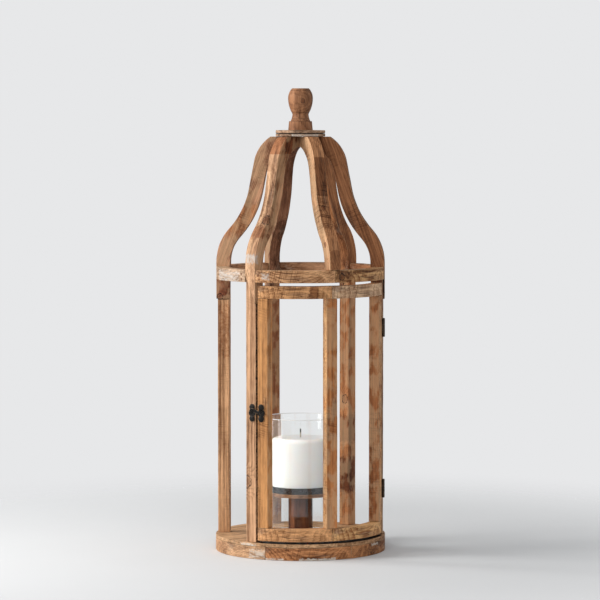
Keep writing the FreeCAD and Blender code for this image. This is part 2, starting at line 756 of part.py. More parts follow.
def finial():
    """Turned finial: a drum with a rounded edge and a ledge, a hollow neck and a ball."""
    body = new_body("finial")
    sketch = sketch_on(body, "XZ_Plane")
    outline(sketch, [("0", "cap_top"), ("finial_radius", "cap_top"),
                     ("drum_radius", "drum_level - finial_edge"),
                     ("drum_radius - finial_edge", "drum_level"), ("cove_foot", "drum_level"),
                     ("neck_radius", "neck_height"), ("collar_radius", "collar_level"),
                     ("ball_radius", "ball_height"), ("crown_flat", "finial_top"),
                     ("0", "finial_top")],
            {2: ("finial_edge", 1), 4: ("finial_cove", -1), 6: ("ball_flank", 1),
             7: ("ball_crown", 1)})
    turn = next(item for item in body.Origin.OriginFeatures if item.Role == "Z_Axis")
    turned("PartDesign::Revolution", body, sketch, (turn, [""]))
    hole_along_z(body, [("0", "0")], "cap_top", "finial_screw_radius + fit_play",
                 "finial_screw_length - cap_layer - cap_layer", "up")


# ---------------------------------------------------------------- door

def door_rails():
    """Curved rails. Each half runs from the joint over the middle stile to the edge beside its post."""
    right_end = HINGE_POST - MIDDLE_STILE
    left_end = MIDDLE_STILE - LATCH_POST
    halves = (("right", ("0", f"{right_end}", "0", "door_side"),
               "nail_side_step", f"{right_end} deg - stile_turn"),
              ("left", (f"- {left_end}", "0", "door_side", "0"),
               "- nail_side_step", f"stile_turn - {left_end} deg"))
    for label, low in (("door_bottom_rail", "door_bottom"), ("door_top_rail", "stile_head")):
        for side, ends, middle_nail, end_nail in halves:
            body = new_body(f"{label}_{side}", MIDDLE_STILE)
            sketch = sketch_on(body, "XY_Plane", low)
            sector(sketch, "door_radius", "door_bore", *ends)
            pad(body, sketch, "rail_height")
            sketch = sketch_on(body, "XY_Plane", low)
            circle(sketch, "stile_middle", middle_nail, "nail_radius + fit_play")
            circle_at(sketch, "stile_middle", end_nail, "nail_radius + fit_play")
            pocket(body, sketch, "rail_height", "Reversed")


def stile_holes(body, spots):
    """Nail holes in both ends of a stile."""
    depth = "nail_length - rail_height"
    hole_along_z(body, spots, "stile_head", "nail_radius + fit_play", depth, "down")
    hole_along_z(body, spots, "stile_foot", "nail_radius + fit_play", depth, "up")


def door_stiles():
    """Three stiles. The end ones have the side next to the post planed back parallel to it."""
    body = new_body("door_stile_middle", MIDDLE_STILE)
    stile(body, "half_stile", "- half_stile")
    stile_holes(body, [("stile_middle", "nail_side_step"), ("stile_middle", "- nail_side_step")])
    for label, sense in (("door_stile_hinge", 1), ("door_stile_latch", -1)):
        body = new_body(label)
        if sense > 0:
            stile(body, "stile_bevel", "- half_stile")
            heading = f"330 deg - {bound('stile_turn')}"
        else:
            stile(body, "half_stile", "- stile_bevel")
            heading = f"210 deg + {bound('stile_turn')}"
        body.setExpression("Placement.Rotation.Angle", heading)
        stile_holes(body, [("stile_middle", "0")])
        if sense > 0:
            hinge_stile_holes(body)
        else:
            hole_from_front(body, tack_spots("latch_plate_middle"), "stile_face",
                            "tack_radius + fit_play", "tack_length - plate_thickness")
            hole_from_front(body, [("pivot_side", "pivot_level")], "stile_face",
                            "rivet_radius + fit_play", "tack_length - plate_thickness")


def stile(body, back_left, back_right):
    """Upright of the door. Its back corners are given, its front is square to the heading."""
    sketch = sketch_on(body, "XY_Plane", "stile_foot")
    outline(sketch, [("door_bore", back_right), ("stile_face", "- half_stile"),
                     ("stile_face", "half_stile"), ("door_bore", back_left)])
    pad(body, sketch, "stile_head - stile_foot")


def hinge_stile_holes(body):
    """Pilot holes for the hinge screws, square to the planed side of the hinge stile."""
    sketch = sketch_on(body, "XZ_Plane")
    turn = bound("stile_turn")
    side = bound("door_side")
    sketch.AttachmentOffset = FreeCAD.Placement(
        FreeCAD.Vector(), FreeCAD.Rotation(FreeCAD.Vector(0, 1, 0), size("stile_turn")))
    sketch.setExpression("AttachmentOffset.Base.x", f"{side} * sin({turn})")
    sketch.setExpression("AttachmentOffset.Base.z", f"{side} * cos({turn})")
    sketch.setExpression("AttachmentOffset.Rotation.Angle", turn)
    for spot in leaf_screw_spots("door_leaf_screw_step"):
        circle(sketch, *spot, "leaf_screw_radius + fit_play")
    pocket(body, sketch, "leaf_screw_length - leaf_thickness", "Reversed")


# ---------------------------------------------------------------- hinges

def leaf_screw_spots(step):
    """Places of one leaf's screws on both hinges, out from the axis and up."""
    return [("leaf_screw_line", f"{level} {sign} {step}")
            for level in ("hinge_low", "hinge_high") for sign in "+-"]


def hinge_leaf(label, level, wood, face, screw_step, outer_knuckles):
    """Leaf against the wood's side, with its knuckles round the pin and its screw holes."""
    body = new_body(label, HINGE_POST)
    root = "hinge_axis - barrel_clear"
    sketch = sketch_on(body, "XY_Plane", level)
    outline(sketch, [("hinge_axis - leaf_reach", wood), (root, wood), (root, face),
                     ("hinge_axis - leaf_reach", face)])
    pad(body, sketch, "hinge_height", "Symmetric")
    knuckles = "hinge_height" if outer_knuckles else "knuckle_length - knuckle_gap"
    sketch = sketch_on(body, "XY_Plane", level)
    outline(sketch, [(root, wood), ("hinge_axis", wood), ("hinge_axis", face), (root, face)])
    pad(body, sketch, knuckles, "Symmetric")
    sketch = sketch_on(body, "XY_Plane", level)
    circle(sketch, "hinge_axis", "- hinge_side", "knuckle_radius")
    pad(body, sketch, knuckles, "Symmetric")
    if outer_knuckles:
        sketch = sketch_on(body, "XY_Plane", level)
        circle(sketch, "hinge_axis", "- hinge_side", "barrel_clear")
        pocket(body, sketch, "knuckle_length + knuckle_gap", "Symmetric")
    sketch = sketch_on(body, "XY_Plane", level)
    circle(sketch, "hinge_axis", "- hinge_side", "pin_radius + fit_play")
    pocket(body, sketch, "hinge_height", "Symmetric")
    sketch = sketch_on(body, "XZ_Plane", "hinge_side")
    for sign in "+-":
        circle(sketch, "leaf_screw_line", f"{level} {sign} {screw_step}", "leaf_screw_radius + fit_play")
    pocket(body, sketch, "door_gap", "Symmetric")


def hinge_pin(label, level):
    """Pin with a flat head at each end."""
    body = new_body(label, HINGE_POST)
    sketch = sketch_on(body, "XY_Plane", level)
    circle(sketch, "hinge_axis", "- hinge_side", "pin_radius")
    pad(body, sketch, "hinge_height", "Symmetric")
    for end, way in (("+", "One side"), ("-", "Reversed")):
        sketch = sketch_on(body, "XY_Plane", f"{level} {end} hinge_height / 2")
        circle(sketch, "hinge_axis", "- hinge_side", "pin_head")
        pad(body, sketch, "pin_cap", way)


def hinges():
    """Two hinges between the hinge post and the hinge stile."""
    for name, level in (("lower", "hinge_low"), ("upper", "hinge_high")):
        hinge_leaf(f"hinge_{name}_post_leaf", level, "- half_stock", "- half_stock - leaf_thickness",
                   "post_leaf_screw_step", True)
        hinge_leaf(f"hinge_{name}_door_leaf", level, "- door_side", "leaf_thickness - door_side",
                   "door_leaf_screw_step", False)
        hinge_pin(f"hinge_{name}_pin", level)


# ---------------------------------------------------------------- latch

def tack_spots(middle):
    """Places of a latch plate's two tacks."""
    return [(middle, "latch_level + lobe_spread"), (middle, "latch_level - lobe_spread")]


def scalloped_plate(body, face, middle):
    """Plate of three round lobes that meet in cusps, with its tack holes."""
    sketch = sketch_on(body, "YZ_Plane", face)
    left = f"{middle} - cusp_side"
    right = f"{middle} + cusp_side"
    low = "latch_level - cusp_rise"
    high = "latch_level + cusp_rise"
    outline(sketch, [(right, low), (right, high), (left, high), (left, low)],
            {0: ("middle_lobe", 1), 1: ("lobe_radius", 2), 2: ("middle_lobe", 1), 3: ("lobe_radius", 2)})
    pad(body, sketch, "plate_thickness")
    hole_from_front(body, tack_spots(middle), f"{face} + plate_thickness", "tack_radius + fit_play",
                    "plate_thickness")


def latch_heading(body):
    """Turn a body to the latch stile's heading."""
    body.setExpression("Placement.Rotation.Angle", f"210 deg + {bound('stile_turn')}")


def latch():
    """Hook and plate on the door, stud and plate on the latch post."""
    body = new_body("latch_plate")
    latch_heading(body)
    scalloped_plate(body, "stile_face", "latch_plate_middle")
    sketch = sketch_on(body, "YZ_Plane", "plate_front")
    circle(sketch, "pivot_side", "pivot_level", "rivet_head")
    pad(body, sketch, "hook_lift")
    hole_from_front(body, [("pivot_side", "pivot_level")], "hook_back", "rivet_radius + fit_play",
                    "hook_lift + plate_thickness")

    body = new_body("catch_plate", LATCH_POST)
    scalloped_plate(body, "post_face", "catch_plate_middle")
    sketch = sketch_on(body, "YZ_Plane", "post_face")
    circle(sketch, "stud_side", "stud_level", "stud_radius")
    pad(body, sketch, "stud_height")

    body = new_body("latch_hook")
    latch_heading(body)
    sketch = sketch_on(body, "YZ_Plane", "hook_back")
    outline(sketch, [("notch_side - hook_bow", "notch_level - hook_prong"),
                     ("notch_side - hook_notch", "notch_level - hook_prong"),
                     ("notch_side - hook_notch", "notch_level"),
                     ("notch_side + hook_notch", "notch_level"),
                     ("boss_left", "boss_low"),
                     ("tab_side", "tab_level - tab_radius"),
                     ("tab_side", "tab_level + tab_radius"),
                     ("boss_right", "boss_right_top"),
                     ("boss_left", "boss_left_top"),
                     ("bow_side", "bow_level"),
                     ("notch_side - hook_bow", "notch_level")],
            {2: ("hook_notch", -1, "DistanceY", "notch_level"),
             5: ("tab_radius", 1, "DistanceX", "tab_side"),
             7: ("hook_boss", 1), 9: ("hook_bow", 1)})
    pad(body, sketch, "hook_thickness")
    sketch = sketch_on(body, "YZ_Plane", "hook_back")
    circle(sketch, "tab_side", "tab_level", "tab_radius")
    pad(body, sketch, "tab_height")
    hole_from_front(body, [("pivot_side", "pivot_level")], "hook_front", "rivet_radius + rivet_play",
                    "hook_thickness")

    body = new_body("latch_rivet")
    latch_heading(body)
    sketch = sketch_on(body, "YZ_Plane", "stile_face - tack_length + plate_thickness")
    circle(sketch, "pivot_side", "pivot_level", "rivet_radius")
    pad(body, sketch, "hook_front + rivet_play - stile_face + tack_length - plate_thickness")
    sketch = sketch_on(body, "YZ_Plane", "hook_front + rivet_play")
    circle(sketch, "pivot_side", "pivot_level", "rivet_head")
    pad(body, sketch, "rivet_dome")


# ---------------------------------------------------------------- candle and its holder

def turned_piece(label, corners, arcs=None):
    """Piece turned about the upright axis from its half section."""
    body = new_body(label)
    sketch = sketch_on(body, "XZ_Plane")
    outline(sketch, corners, arcs)
    turn = next(item for item in body.Origin.OriginFeatures if item.Role == "Z_Axis")
    turned("PartDesign::Revolution", body, sketch, (turn, [""]))
    return body


def candle_holder():
    """Pedestal of a round post and a flange, with the metal dish on it."""
    body = turned_piece("pedestal_post", [("0", "board_top"), ("pedestal_radius", "board_top"),
                                          ("pedestal_radius", "flange_level"), ("0", "flange_level")])
    hole_along_z(body, [("0", "0")], "board_top", "screw_radius + fit_play",
                 "pedestal_screw_length - board_thickness", "up")
    hole_along_z(body, [("0", "0")], "flange_level", "screw_radius + fit_play",
                 "dish_screw_length - dish_wall - flange_thickness", "down")
    body = turned_piece("pedestal_flange", [("0", "flange_level"), ("dish_radius", "flange_level"),
                                            ("dish_radius", "dish_level"), ("0", "dish_level")])
    countersunk_hole(body, "0", "dish_floor", "dish_floor - screw_sink", "flange_level")
    body = turned_piece("candle_dish", [("0", "dish_level"), ("dish_radius", "dish_level"),
                                        ("dish_radius", "dish_level + dish_height"),
                                        ("dish_bore", "dish_level + dish_height"),
                                        ("dish_bore", "dish_floor"), ("0", "dish_floor")])
    countersunk_hole(body, "0", "dish_floor", "dish_floor - screw_sink", "flange_level")


def candle():
    """Pillar candle with a rounded shoulder, and the wick set in its top."""
    body = turned_piece("candle", [("0", "dish_floor"), ("candle_radius", "dish_floor"),
                                   ("candle_radius", "candle_top - candle_shoulder"),
                                   ("candle_radius - candle_shoulder", "candle_top"),
                                   ("0", "candle_top")],
                        {2: ("candle_shoulder", 1)})
    hole_along_z(body, [("0", "0")], "candle_top", "wick_radius", "wick_depth", "down")
    body = new_body("wick")
    sketch = sketch_on(body, "XY_Plane", "candle_top - wick_depth")
    circle(sketch, "0", "0", "wick_radius")
    pad(body, sketch, "wick_height + wick_depth")


def glass_sleeve():
    """Open glass cylinder with its rims ground off, standing on the base board."""
    inner = "glass_bore + glass_edge"
    outer = "glass_radius - glass_edge"
    low = "board_top + glass_edge"
    high = "glass_top - glass_edge"
    turned_piece("glass_sleeve", [(inner, "board_top"), (outer, "board_top"), ("glass_radius", low),
                                  ("glass_radius", high), (outer, "glass_top"),
                                  (inner, "glass_top"), ("glass_bore", high), ("glass_bore", low)])


# ---------------------------------------------------------------- fasteners

def screw(length):
    """Countersunk screw with the flat of its head at the origin and its shank along Z."""
    shank = value("screw_radius")
    sink = value("screw_sink")
    head = Part.makeCone(value("screw_head"), shank, sink)
    return head.fuse(Part.makeCylinder(shank, value(length) - sink, FreeCAD.Vector(0, 0, sink)))


def tack(radius, head, dome, length):
    """Nail with a flat head above the origin and its shank along Z."""
    shank = Part.makeCylinder(value(radius), value(length))
    return shank.fuse(Part.makeCylinder(value(head), value(dome), FreeCAD.Vector(0, 0, -value(dome))))


def at_heading(shape, heading, place, pointing):
    """Copy of a fastener at a place in the frame of a heading, pointing a given way."""
    placed = shape.copy()
    spin = FreeCAD.Rotation(FreeCAD.Vector(0, 0, 1), heading - 90)
    aim = FreeCAD.Rotation(FreeCAD.Vector(0, 0, 1), FreeCAD.Vector(*pointing))
    placed.Placement = FreeCAD.Placement(spin.multVec(FreeCAD.Vector(*place)), spin.multiply(aim))
    return placed


def group(label, shapes):
    """Fasteners of one kind as one node."""
    feature = document.addObject("Part::Feature", label)
    feature.Label = label
    feature.Shape = Part.makeCompound(shapes)


def wood_screws():
    """Screws up into the posts and the pedestal, and down into the ribs."""
    place = (size("post_middle"), 0, size("post_screw_recess"))
    group("post_screws", [at_heading(screw("post_screw_length"), heading, place, (0, 0, 1))
                          for heading in POST_HEADINGS.values()])
    place = (0, 0, size("base_ring_height"))
    group("pedestal_screw", [at_heading(screw("pedestal_screw_length"), FRONT, place, (0, 0, 1))])
    place = (0, 0, size("dish_floor"))
    group("dish_screw", [at_heading(screw("dish_screw_length"), FRONT, place, (0, 0, -1))])
    place = (size("rib_screw_circle"), 0, size("cap_seam"))
    group("rib_screws", [at_heading(screw("rib_screw_length"), heading, place, (0, 0, -1))
                         for heading in RIB_HEADINGS.values()])
    radius = size("finial_screw_radius")
    tip = 2 * radius
    low = size("cap_level")
    length = size("finial_screw_length")
    rod = Part.makeCylinder(radius, length - tip, FreeCAD.Vector(0, 0, low))
    point = Part.makeCone(radius, radius / 6, tip, FreeCAD.Vector(0, 0, low + length - tip))
    group("finial_screw", [rod.fuse(point)])


def door_nails():
    """Nails through the rails into the ends of the stiles."""
    nail = Part.makeCylinder(size("nail_radius"), size("nail_length"))
    end = STEP - size("stile_turn")
    step = size("nail_side_step")
    spots = [(end, 0), (-end, 0), (MIDDLE_STILE, step), (MIDDLE_STILE, -step)]
    reach = size("stile_middle")
    nails = []
    for heading, side in spots:
        nails.append(at_heading(nail, heading, (reach, side, size("door_top")), (0, 0, -1)))
        nails.append(at_heading(nail, heading, (reach, side, size("door_bottom")), (0, 0, 1)))
    group("door_nails", nails)


def hinge_screws():
    """Small screws through the hinge leaves."""
    shape = tack("leaf_screw_radius", "leaf_screw_head", "leaf_screw_cap", "leaf_screw_length")
    reach = size("leaf_screw_line")
    for label, face, pointing, step in (
            ("hinge_post_screws", "- half_stock - leaf_thickness", (0, 1, 0), "post_leaf_screw_step"),
            ("hinge_door_screws", "leaf_thickness - door_side", (0, -1, 0), "door_leaf_screw_step")):
        screws = []
        for _, level in leaf_screw_spots(step):
            screws.append(at_heading(shape, HINGE_POST, (reach, value(face), value(level)), pointing))
        group(label, screws)


def latch_tacks():
    """Tacks that hold the two latch plates."""
    shape = tack("tack_radius", "tack_head", "tack_dome", "tack_length")
    stile_heading = size("stile_turn") - STEP
    for label, heading, face, middle in (
            ("latch_pins", stile_heading, "plate_front", "latch_plate_middle"),
            ("catch_pins", LATCH_POST, "post_face + plate_thickness", "catch_plate_middle")):
        tacks = [at_heading(shape, heading, (value(face), value(side), value(level)), (-1, 0, 0))
                 for side, level in tack_spots(middle)]
        group(label, tacks)


# ---------------------------------------------------------------- the lantern

def check_model():
    """Names of the pieces, after every object has been found sound."""
    document.recompute()
    for item in document.Objects:
        if "Invalid" in item.State or "Error" in item.State:
            raise RuntimeError(f"{item.Label} failed: {item.State}")
    pieces = [item for item in document.Objects
              if item.TypeId in ("PartDesign::Body", "Part::Feature") and item.Label != "Origin"]
    for piece in pieces:
        if piece.Shape.isNull() or not piece.Shape.isValid() or not piece.Shape.Solids:
            raise RuntimeError(f"{piece.Label} has no sound solid")
    return pieces


def main():
    """Build the lantern and write one file a piece."""
    base_segments()
    base_board()
    posts()
    ring_segments()
    ribs()
    cap()
    finial()
    door_rails()
    door_stiles()
    hinges()
    latch()
    candle_holder()
    candle()
    glass_sleeve()
    wood_screws()
    door_nails()
    hinge_screws()
    latch_tacks()
    pieces = check_model()
    os.makedirs("parts", exist_ok=True)
    for piece in pieces:
        piece.Shape.exportStep(f"parts/{piece.Label}.step")
    print(f"{len(pieces)} pieces, height {max(piece.Shape.BoundBox.ZMax for piece in pieces):.2f} mm")


main()
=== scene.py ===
import logging
import math
from dataclasses import dataclass
from enum import Enum

import bmesh
import bpy
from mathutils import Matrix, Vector


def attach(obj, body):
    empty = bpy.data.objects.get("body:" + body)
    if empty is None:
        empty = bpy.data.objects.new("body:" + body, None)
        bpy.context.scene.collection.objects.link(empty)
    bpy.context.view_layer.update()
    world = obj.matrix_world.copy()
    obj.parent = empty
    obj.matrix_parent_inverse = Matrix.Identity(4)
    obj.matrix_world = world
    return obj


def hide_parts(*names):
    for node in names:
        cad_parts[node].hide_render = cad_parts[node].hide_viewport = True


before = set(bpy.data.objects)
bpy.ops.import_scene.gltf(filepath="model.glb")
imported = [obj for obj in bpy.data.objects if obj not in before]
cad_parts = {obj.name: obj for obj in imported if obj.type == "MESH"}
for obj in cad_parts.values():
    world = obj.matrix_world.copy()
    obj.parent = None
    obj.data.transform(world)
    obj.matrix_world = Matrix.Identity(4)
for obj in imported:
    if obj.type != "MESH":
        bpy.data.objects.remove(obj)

log = logging.getLogger("lantern")
logging.basicConfig(level=logging.INFO, format="%(name)s: %(message)s")

Colour = tuple[float, float, float]
Point = tuple[float, float, float]
Input = bpy.types.NodeSocket | float | tuple[float, ...]

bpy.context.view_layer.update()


class Body(Enum):
    """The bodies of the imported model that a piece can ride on."""

    FRAME = "frame"
    DOOR = "door"
    HOOK = "hook"
    GLASS = "glass"
    CANDLE = "candle"


class Grain(Enum):
    """How the fibres of a wooden piece run."""

    UPRIGHT = "upright"
    LEVEL = "level"
    LEANING = "leaning"


def around(heading: float, radius: float, height: float) -> Point:
    """A point of the lantern by its heading from the middle of the door.

    Args:
        heading: degrees from the front, positive towards the hinges.
        radius: metres from the lantern's axis.
        height: metres above the floor.

    Returns:
        The point in the row frame, in metres.
    """
    turn = math.radians(heading)
    return (radius * math.sin(turn), -radius * math.cos(turn), height)


class Bench:
    """The moves of hand modelling that every piece shares."""

    @staticmethod
    def pick(piece: bpy.types.Object) -> None:
        """Select one object alone and make it the active one."""
        bpy.ops.object.select_all(action="DESELECT")
        piece.select_set(True)
        bpy.context.view_layer.objects.active = piece

    @staticmethod
    def copy_of(node: str) -> bpy.types.Object:
        """A copy of a CAD node's mesh as a new piece, its loose triangles merged.

        Args:
            node: the CAD node's name.

        Returns:
            The new object, at the origin.
        """
        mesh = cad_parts[node].data.copy()
        mesh.materials.clear()
        piece = bpy.data.objects.new(f"{node}_finished", mesh)
        bpy.context.scene.collection.objects.link(piece)
        Bench.pick(piece)
        bpy.ops.mesh.customdata_custom_splitnormals_clear()
        bpy.ops.object.mode_set(mode="EDIT")
        bpy.ops.mesh.select_all(action="SELECT")
        bpy.ops.mesh.remove_doubles(threshold=1e-5)
        bpy.ops.object.mode_set(mode="OBJECT")
        return piece

    @staticmethod
    def pick_crisp_edges(piece: bpy.types.Object, shortest: float, angle: float = 40.0) -> int:
        """In edit mode, select the outward edges that the hand would touch.

        Args:
            piece: the object in edit mode.
            shortest: edges shorter than this, as round a nail hole, stay crisp.
            angle: the least turn between the two faces, in degrees.

        Returns:
            The number of edges selected.
        """
        mesh = bmesh.from_edit_mesh(piece.data)
        bpy.ops.mesh.select_all(action="DESELECT")
        least = math.radians(angle)
        count = 0
        for edge in mesh.edges:
            if not edge.is_manifold or edge.calc_length() < shortest:
                continue
            if edge.calc_face_angle_signed(0.0) > least:
                edge.select_set(True)
                count += 1
        bmesh.update_edit_mesh(piece.data)
        return count

    @staticmethod
    def ease_edges(piece: bpy.types.Object, width: float, shortest: float, segments: int = 2) -> None:
        """Round the crisp edges a little and mark the new faces, which carry edge wear and a painted
        highlight.

        Args:
            piece: the object to ease.
            width: how far the rounding reaches from the edge, in metres.
            shortest: edges shorter than this stay crisp.
            segments: facets across the rounding.
        """
        Bench.pick(piece)
        bpy.ops.object.mode_set(mode="EDIT")
        bpy.ops.mesh.select_mode(type="EDGE")
        bpy.ops.mesh.select_all(action="SELECT")
        bpy.ops.mesh.dissolve_limited(angle_limit=math.radians(1.0))
        if Bench.pick_crisp_edges(piece, shortest):
            bpy.ops.mesh.bevel(offset=width, segments=segments, profile=0.5, clamp_overlap=False)
        bpy.ops.mesh.select_mode(type="FACE")
        bpy.ops.object.mode_set(mode="OBJECT")
        edge_wear_and_highlight = piece.data.attributes.new("edge_wear_and_highlight", "FLOAT", "FACE")
        edge_wear_and_highlight.data.foreach_set("value", [1.0 if face.select else 0.0 for face in piece.data.polygons])

    @staticmethod
    def cut_up(piece: bpy.types.Object, direction: Point, step: float) -> None:
        """Cut the faces across at even steps, so that the surface can waver.

        Args:
            piece: the object to cut.
            direction: the direction along which the cuts follow each other.
            step: the distance between cuts, in metres.
        """
        along = Vector(direction).normalized()
        reach = [along.dot(corner.co) for corner in piece.data.vertices]
        count = int((max(reach) - min(reach)) / step)
        Bench.pick(piece)
        bpy.ops.object.mode_set(mode="EDIT")
        for cut in range(1, count + 1):
            at = min(reach) + (max(reach) - min(reach)) * cut / (count + 1)
            bpy.ops.mesh.select_all(action="SELECT")
            bpy.ops.mesh.bisect(plane_co=along * at, plane_no=along)
        bpy.ops.object.mode_set(mode="OBJECT")

    @staticmethod
    def waver(piece: bpy.types.Object, depth: float, size: float) -> None:
        """Take a little off the surface unevenly, as a saw and a plane do.

        Args:
            piece: the object to waver.
            depth: the most that is taken off, in metres.
            size: the length of one wave, in metres.
        """
        cloud = bpy.data.textures.new(f"{piece.name}_hand", "CLOUDS")
        cloud.noise_scale = size
        cloud.noise_depth = 1
        Bench.pick(piece)
        uneven = piece.modifiers.new("hand", "DISPLACE")
        uneven.texture = cloud
        uneven.texture_coords = "LOCAL"
        uneven.strength = depth
        uneven.mid_level = 1.0
        bpy.ops.object.modifier_apply(modifier=uneven.name)

    @staticmethod
    def smooth(piece: bpy.types.Object, angle: float, weighted: bool = True) -> None:
        """Shade the piece smooth up to an angle, with its flat faces kept flat.

        Args:
            piece: the object to shade.
            angle: the sharpest turn that is smoothed, in degrees.
            weighted: whether large faces hold their own normal.
        """
        Bench.pick(piece)
        bpy.ops.object.shade_smooth_by_angle(angle=math.radians(angle))
        if weighted:
            flat = piece.modifiers.new("flat", "WEIGHTED_NORMAL")
            flat.keep_sharp = True
            bpy.ops.object.modifier_apply(modifier=flat.name)

    @staticmethod
    def hand_in(piece: bpy.types.Object, material: bpy.types.Material, body: Body, node: str) -> None:
        """Give a finished piece its material and body, and hide the CAD node that it stands for.

        Args:
            piece: the finished object.
            material: its finish.
            body: the body that it rides on.
            node: the CAD node that it stands for.
        """
        piece.data.materials.clear()
        piece.data.materials.append(material)
        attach(piece, body.value)
        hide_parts(node)
        log.info("%s on %s, %d faces", piece.name, body.value, len(piece.data.polygons))


class Graph:
    """A finish's node tree, written step by step."""

    def __init__(self, name: str) -> None:
        """Start a material with one shader.

        Args:
            name: the material's name.
        """
        self.material = bpy.data.materials.new(name)
        self.material.use_nodes = True
        self.nodes = self.material.node_tree.nodes
        self.links = self.material.node_tree.links
        self.nodes.clear()
        self.output = self.nodes.new("ShaderNodeOutputMaterial")
        self.shader = self.nodes.new("ShaderNodeBsdfPrincipled")
        self.links.new(self.shader.outputs["BSDF"], self.output.inputs["Surface"])

    def feed(self, socket: bpy.types.NodeSocket, value: Input) -> None:
        """Link a socket, or set it where the value is a constant."""
        if isinstance(value, bpy.types.NodeSocket):
            self.links.new(value, socket)
        elif isinstance(value, tuple) and len(value) == 3 and socket.type == "RGBA":
            socket.default_value = (*value, 1.0)
        else:
            socket.default_value = value

    def sum(
        self, operation: str, first: Input, second: Input = 0.0, third: Input = 0.0, clamp: bool = False,
    ) -> bpy.types.NodeSocket:
        """One step of arithmetic.

        Args:
            operation: the Math node's operation.
            first: its first value.
            second: its second value.
            third: its third value.
            clamp: whether the result is held between 0 and 1.

        Returns:
            The result's socket.
        """
        node = self.nodes.new("ShaderNodeMath")
        node.operation = operation
        node.use_clamp = clamp
        for socket, value in zip(node.inputs, (first, second, third)):
            self.feed(socket, value)
        return node.outputs[0]

    def vector(self, operation: str, first: Input, second: Input = (0.0, 0.0, 0.0)) -> bpy.types.NodeSocket:
        """One step of vector arithmetic, giving a vector or, for LENGTH and DISTANCE, a number."""
        node = self.nodes.new("ShaderNodeVectorMath")
        node.operation = operation
        self.feed(node.inputs[0], first)
        self.feed(node.inputs[1], second)
        return node.outputs["Value" if operation in ("LENGTH", "DISTANCE", "DOT_PRODUCT") else "Vector"]

    def blend(self, share: Input, first: Input, second: Input, way: str = "MIX") -> bpy.types.NodeSocket:
        """Mix two colours.

        Args:
            share: how much of the second colour shows.
            first: the colour below.
            second: the colour on top.
            way: the Mix node's blend type.

        Returns:
            The mixed colour's socket.
        """
        node = self.nodes.new("ShaderNodeMix")
        node.data_type = "RGBA"
        node.blend_type = way
        self.feed(node.inputs[0], share)
        self.feed(node.inputs[6], first)
        self.feed(node.inputs[7], second)
        return node.outputs[2]

    def step(self, value: Input, low: float, high: float) -> bpy.types.NodeSocket:
        """A smooth step from 0 at low to 1 at high, or falling where low is above high."""
        node = self.nodes.new("ShaderNodeMapRange")
        node.interpolation_type = "SMOOTHSTEP"
        falling = low > high
        self.feed(node.inputs["Value"], value)
        self.feed(node.inputs["From Min"], min(low, high))
        self.feed(node.inputs["From Max"], max(low, high))
        self.feed(node.inputs["To Min"], 1.0 if falling else 0.0)
        self.feed(node.inputs["To Max"], 0.0 if falling else 1.0)
        return node.outputs[0]

    def noise(
        self, place: Input, scale: Point, detail: float = 2.0, rough: float = 0.5,
    ) -> bpy.types.NodeSocket:
        """Fractal noise around 0.5.

        Args:
            place: the coordinates.
            scale: how often it repeats along each axis, per metre.
            detail: the octaves.
            rough: the share that each octave adds.

        Returns:
            The noise's value.
        """
        node = self.nodes.new("ShaderNodeTexNoise")
        self.feed(node.inputs["Vector"], self.vector("MULTIPLY", place, scale))
        self.feed(node.inputs["Scale"], 1.0)
        self.feed(node.inputs["Detail"], detail)
        self.feed(node.inputs["Roughness"], rough)
        return node.outputs["Fac"]

    def axes(self, place: Input) -> tuple[bpy.types.NodeSocket, ...]:
        """The three numbers of a vector."""
        node = self.nodes.new("ShaderNodeSeparateXYZ")
        self.feed(node.inputs[0], place)
        return tuple(node.outputs)

    def joined(self, x: Input, y: Input, z: Input) -> bpy.types.NodeSocket:
        """A vector from three numbers."""
        node = self.nodes.new("ShaderNodeCombineXYZ")
        for socket, value in zip(node.inputs, (x, y, z)):
            self.feed(socket, value)
        return node.outputs[0]

    def ramp(self, value: Input, stops: tuple[tuple[float, float], ...]) -> bpy.types.NodeSocket:
        """A curve of grey values through stops of (place, value)."""
        node = self.nodes.new("ShaderNodeValToRGB")
        for index, (place, grey) in enumerate(stops):
            element = node.color_ramp.elements[index] if index < 2 else node.color_ramp.elements.new(place)
            element.position = place
            element.color = (grey, grey, grey, 1.0)
        self.feed(node.inputs[0], value)
        return node.outputs[0]

    def place(self) -> bpy.types.NodeSocket:
        """The point's place in the row frame, in metres."""
        return self.nodes.new("ShaderNodeTexCoord").outputs["Object"]

    def seen_from(self, centre: Point, turn: Point) -> bpy.types.NodeSocket:
        """The point's place in a piece's own frame.

        Args:
            centre: the frame's origin in the row frame.
            turn: the frame's turn about X, Y and Z, in radians.

        Returns:
            The place's socket.
        """
        node = self.nodes.new("ShaderNodeMapping")
        node.vector_type = "TEXTURE"
        self.feed(node.inputs["Vector"], self.place())
        self.feed(node.inputs["Location"], centre)
        self.feed(node.inputs["Rotation"], turn)
        return node.outputs[0]

    def edge_wear_and_highlight(self) -> bpy.types.NodeSocket:
        """1 on the faces of a rounded edge, 0 elsewhere."""
        node = self.nodes.new("ShaderNodeAttribute")
        node.attribute_name = "edge_wear_and_highlight"
        return node.outputs["Fac"]

    def relief(self, height: Input, distance: float, strength: float = 1.0) -> bpy.types.NodeSocket:
        """A bump from a height between 0 and 1.

        Args:
            height: the height.
            distance: what a height of 1 stands for, in metres.
            strength: how much of it shows.

        Returns:
            The normal's socket.
        """
        node = self.nodes.new("ShaderNodeBump")
        self.feed(node.inputs["Height"], height)
        self.feed(node.inputs["Distance"], distance)
        self.feed(node.inputs["Strength"], strength)
        return node.outputs[0]


@dataclass(frozen=True)
class Knot:
    """One knot, at a place in the row frame, in metres."""

    place: Point
    radius: float
    core: float = 0.55
    ring: float = 0.9
    flat: float = 0.8


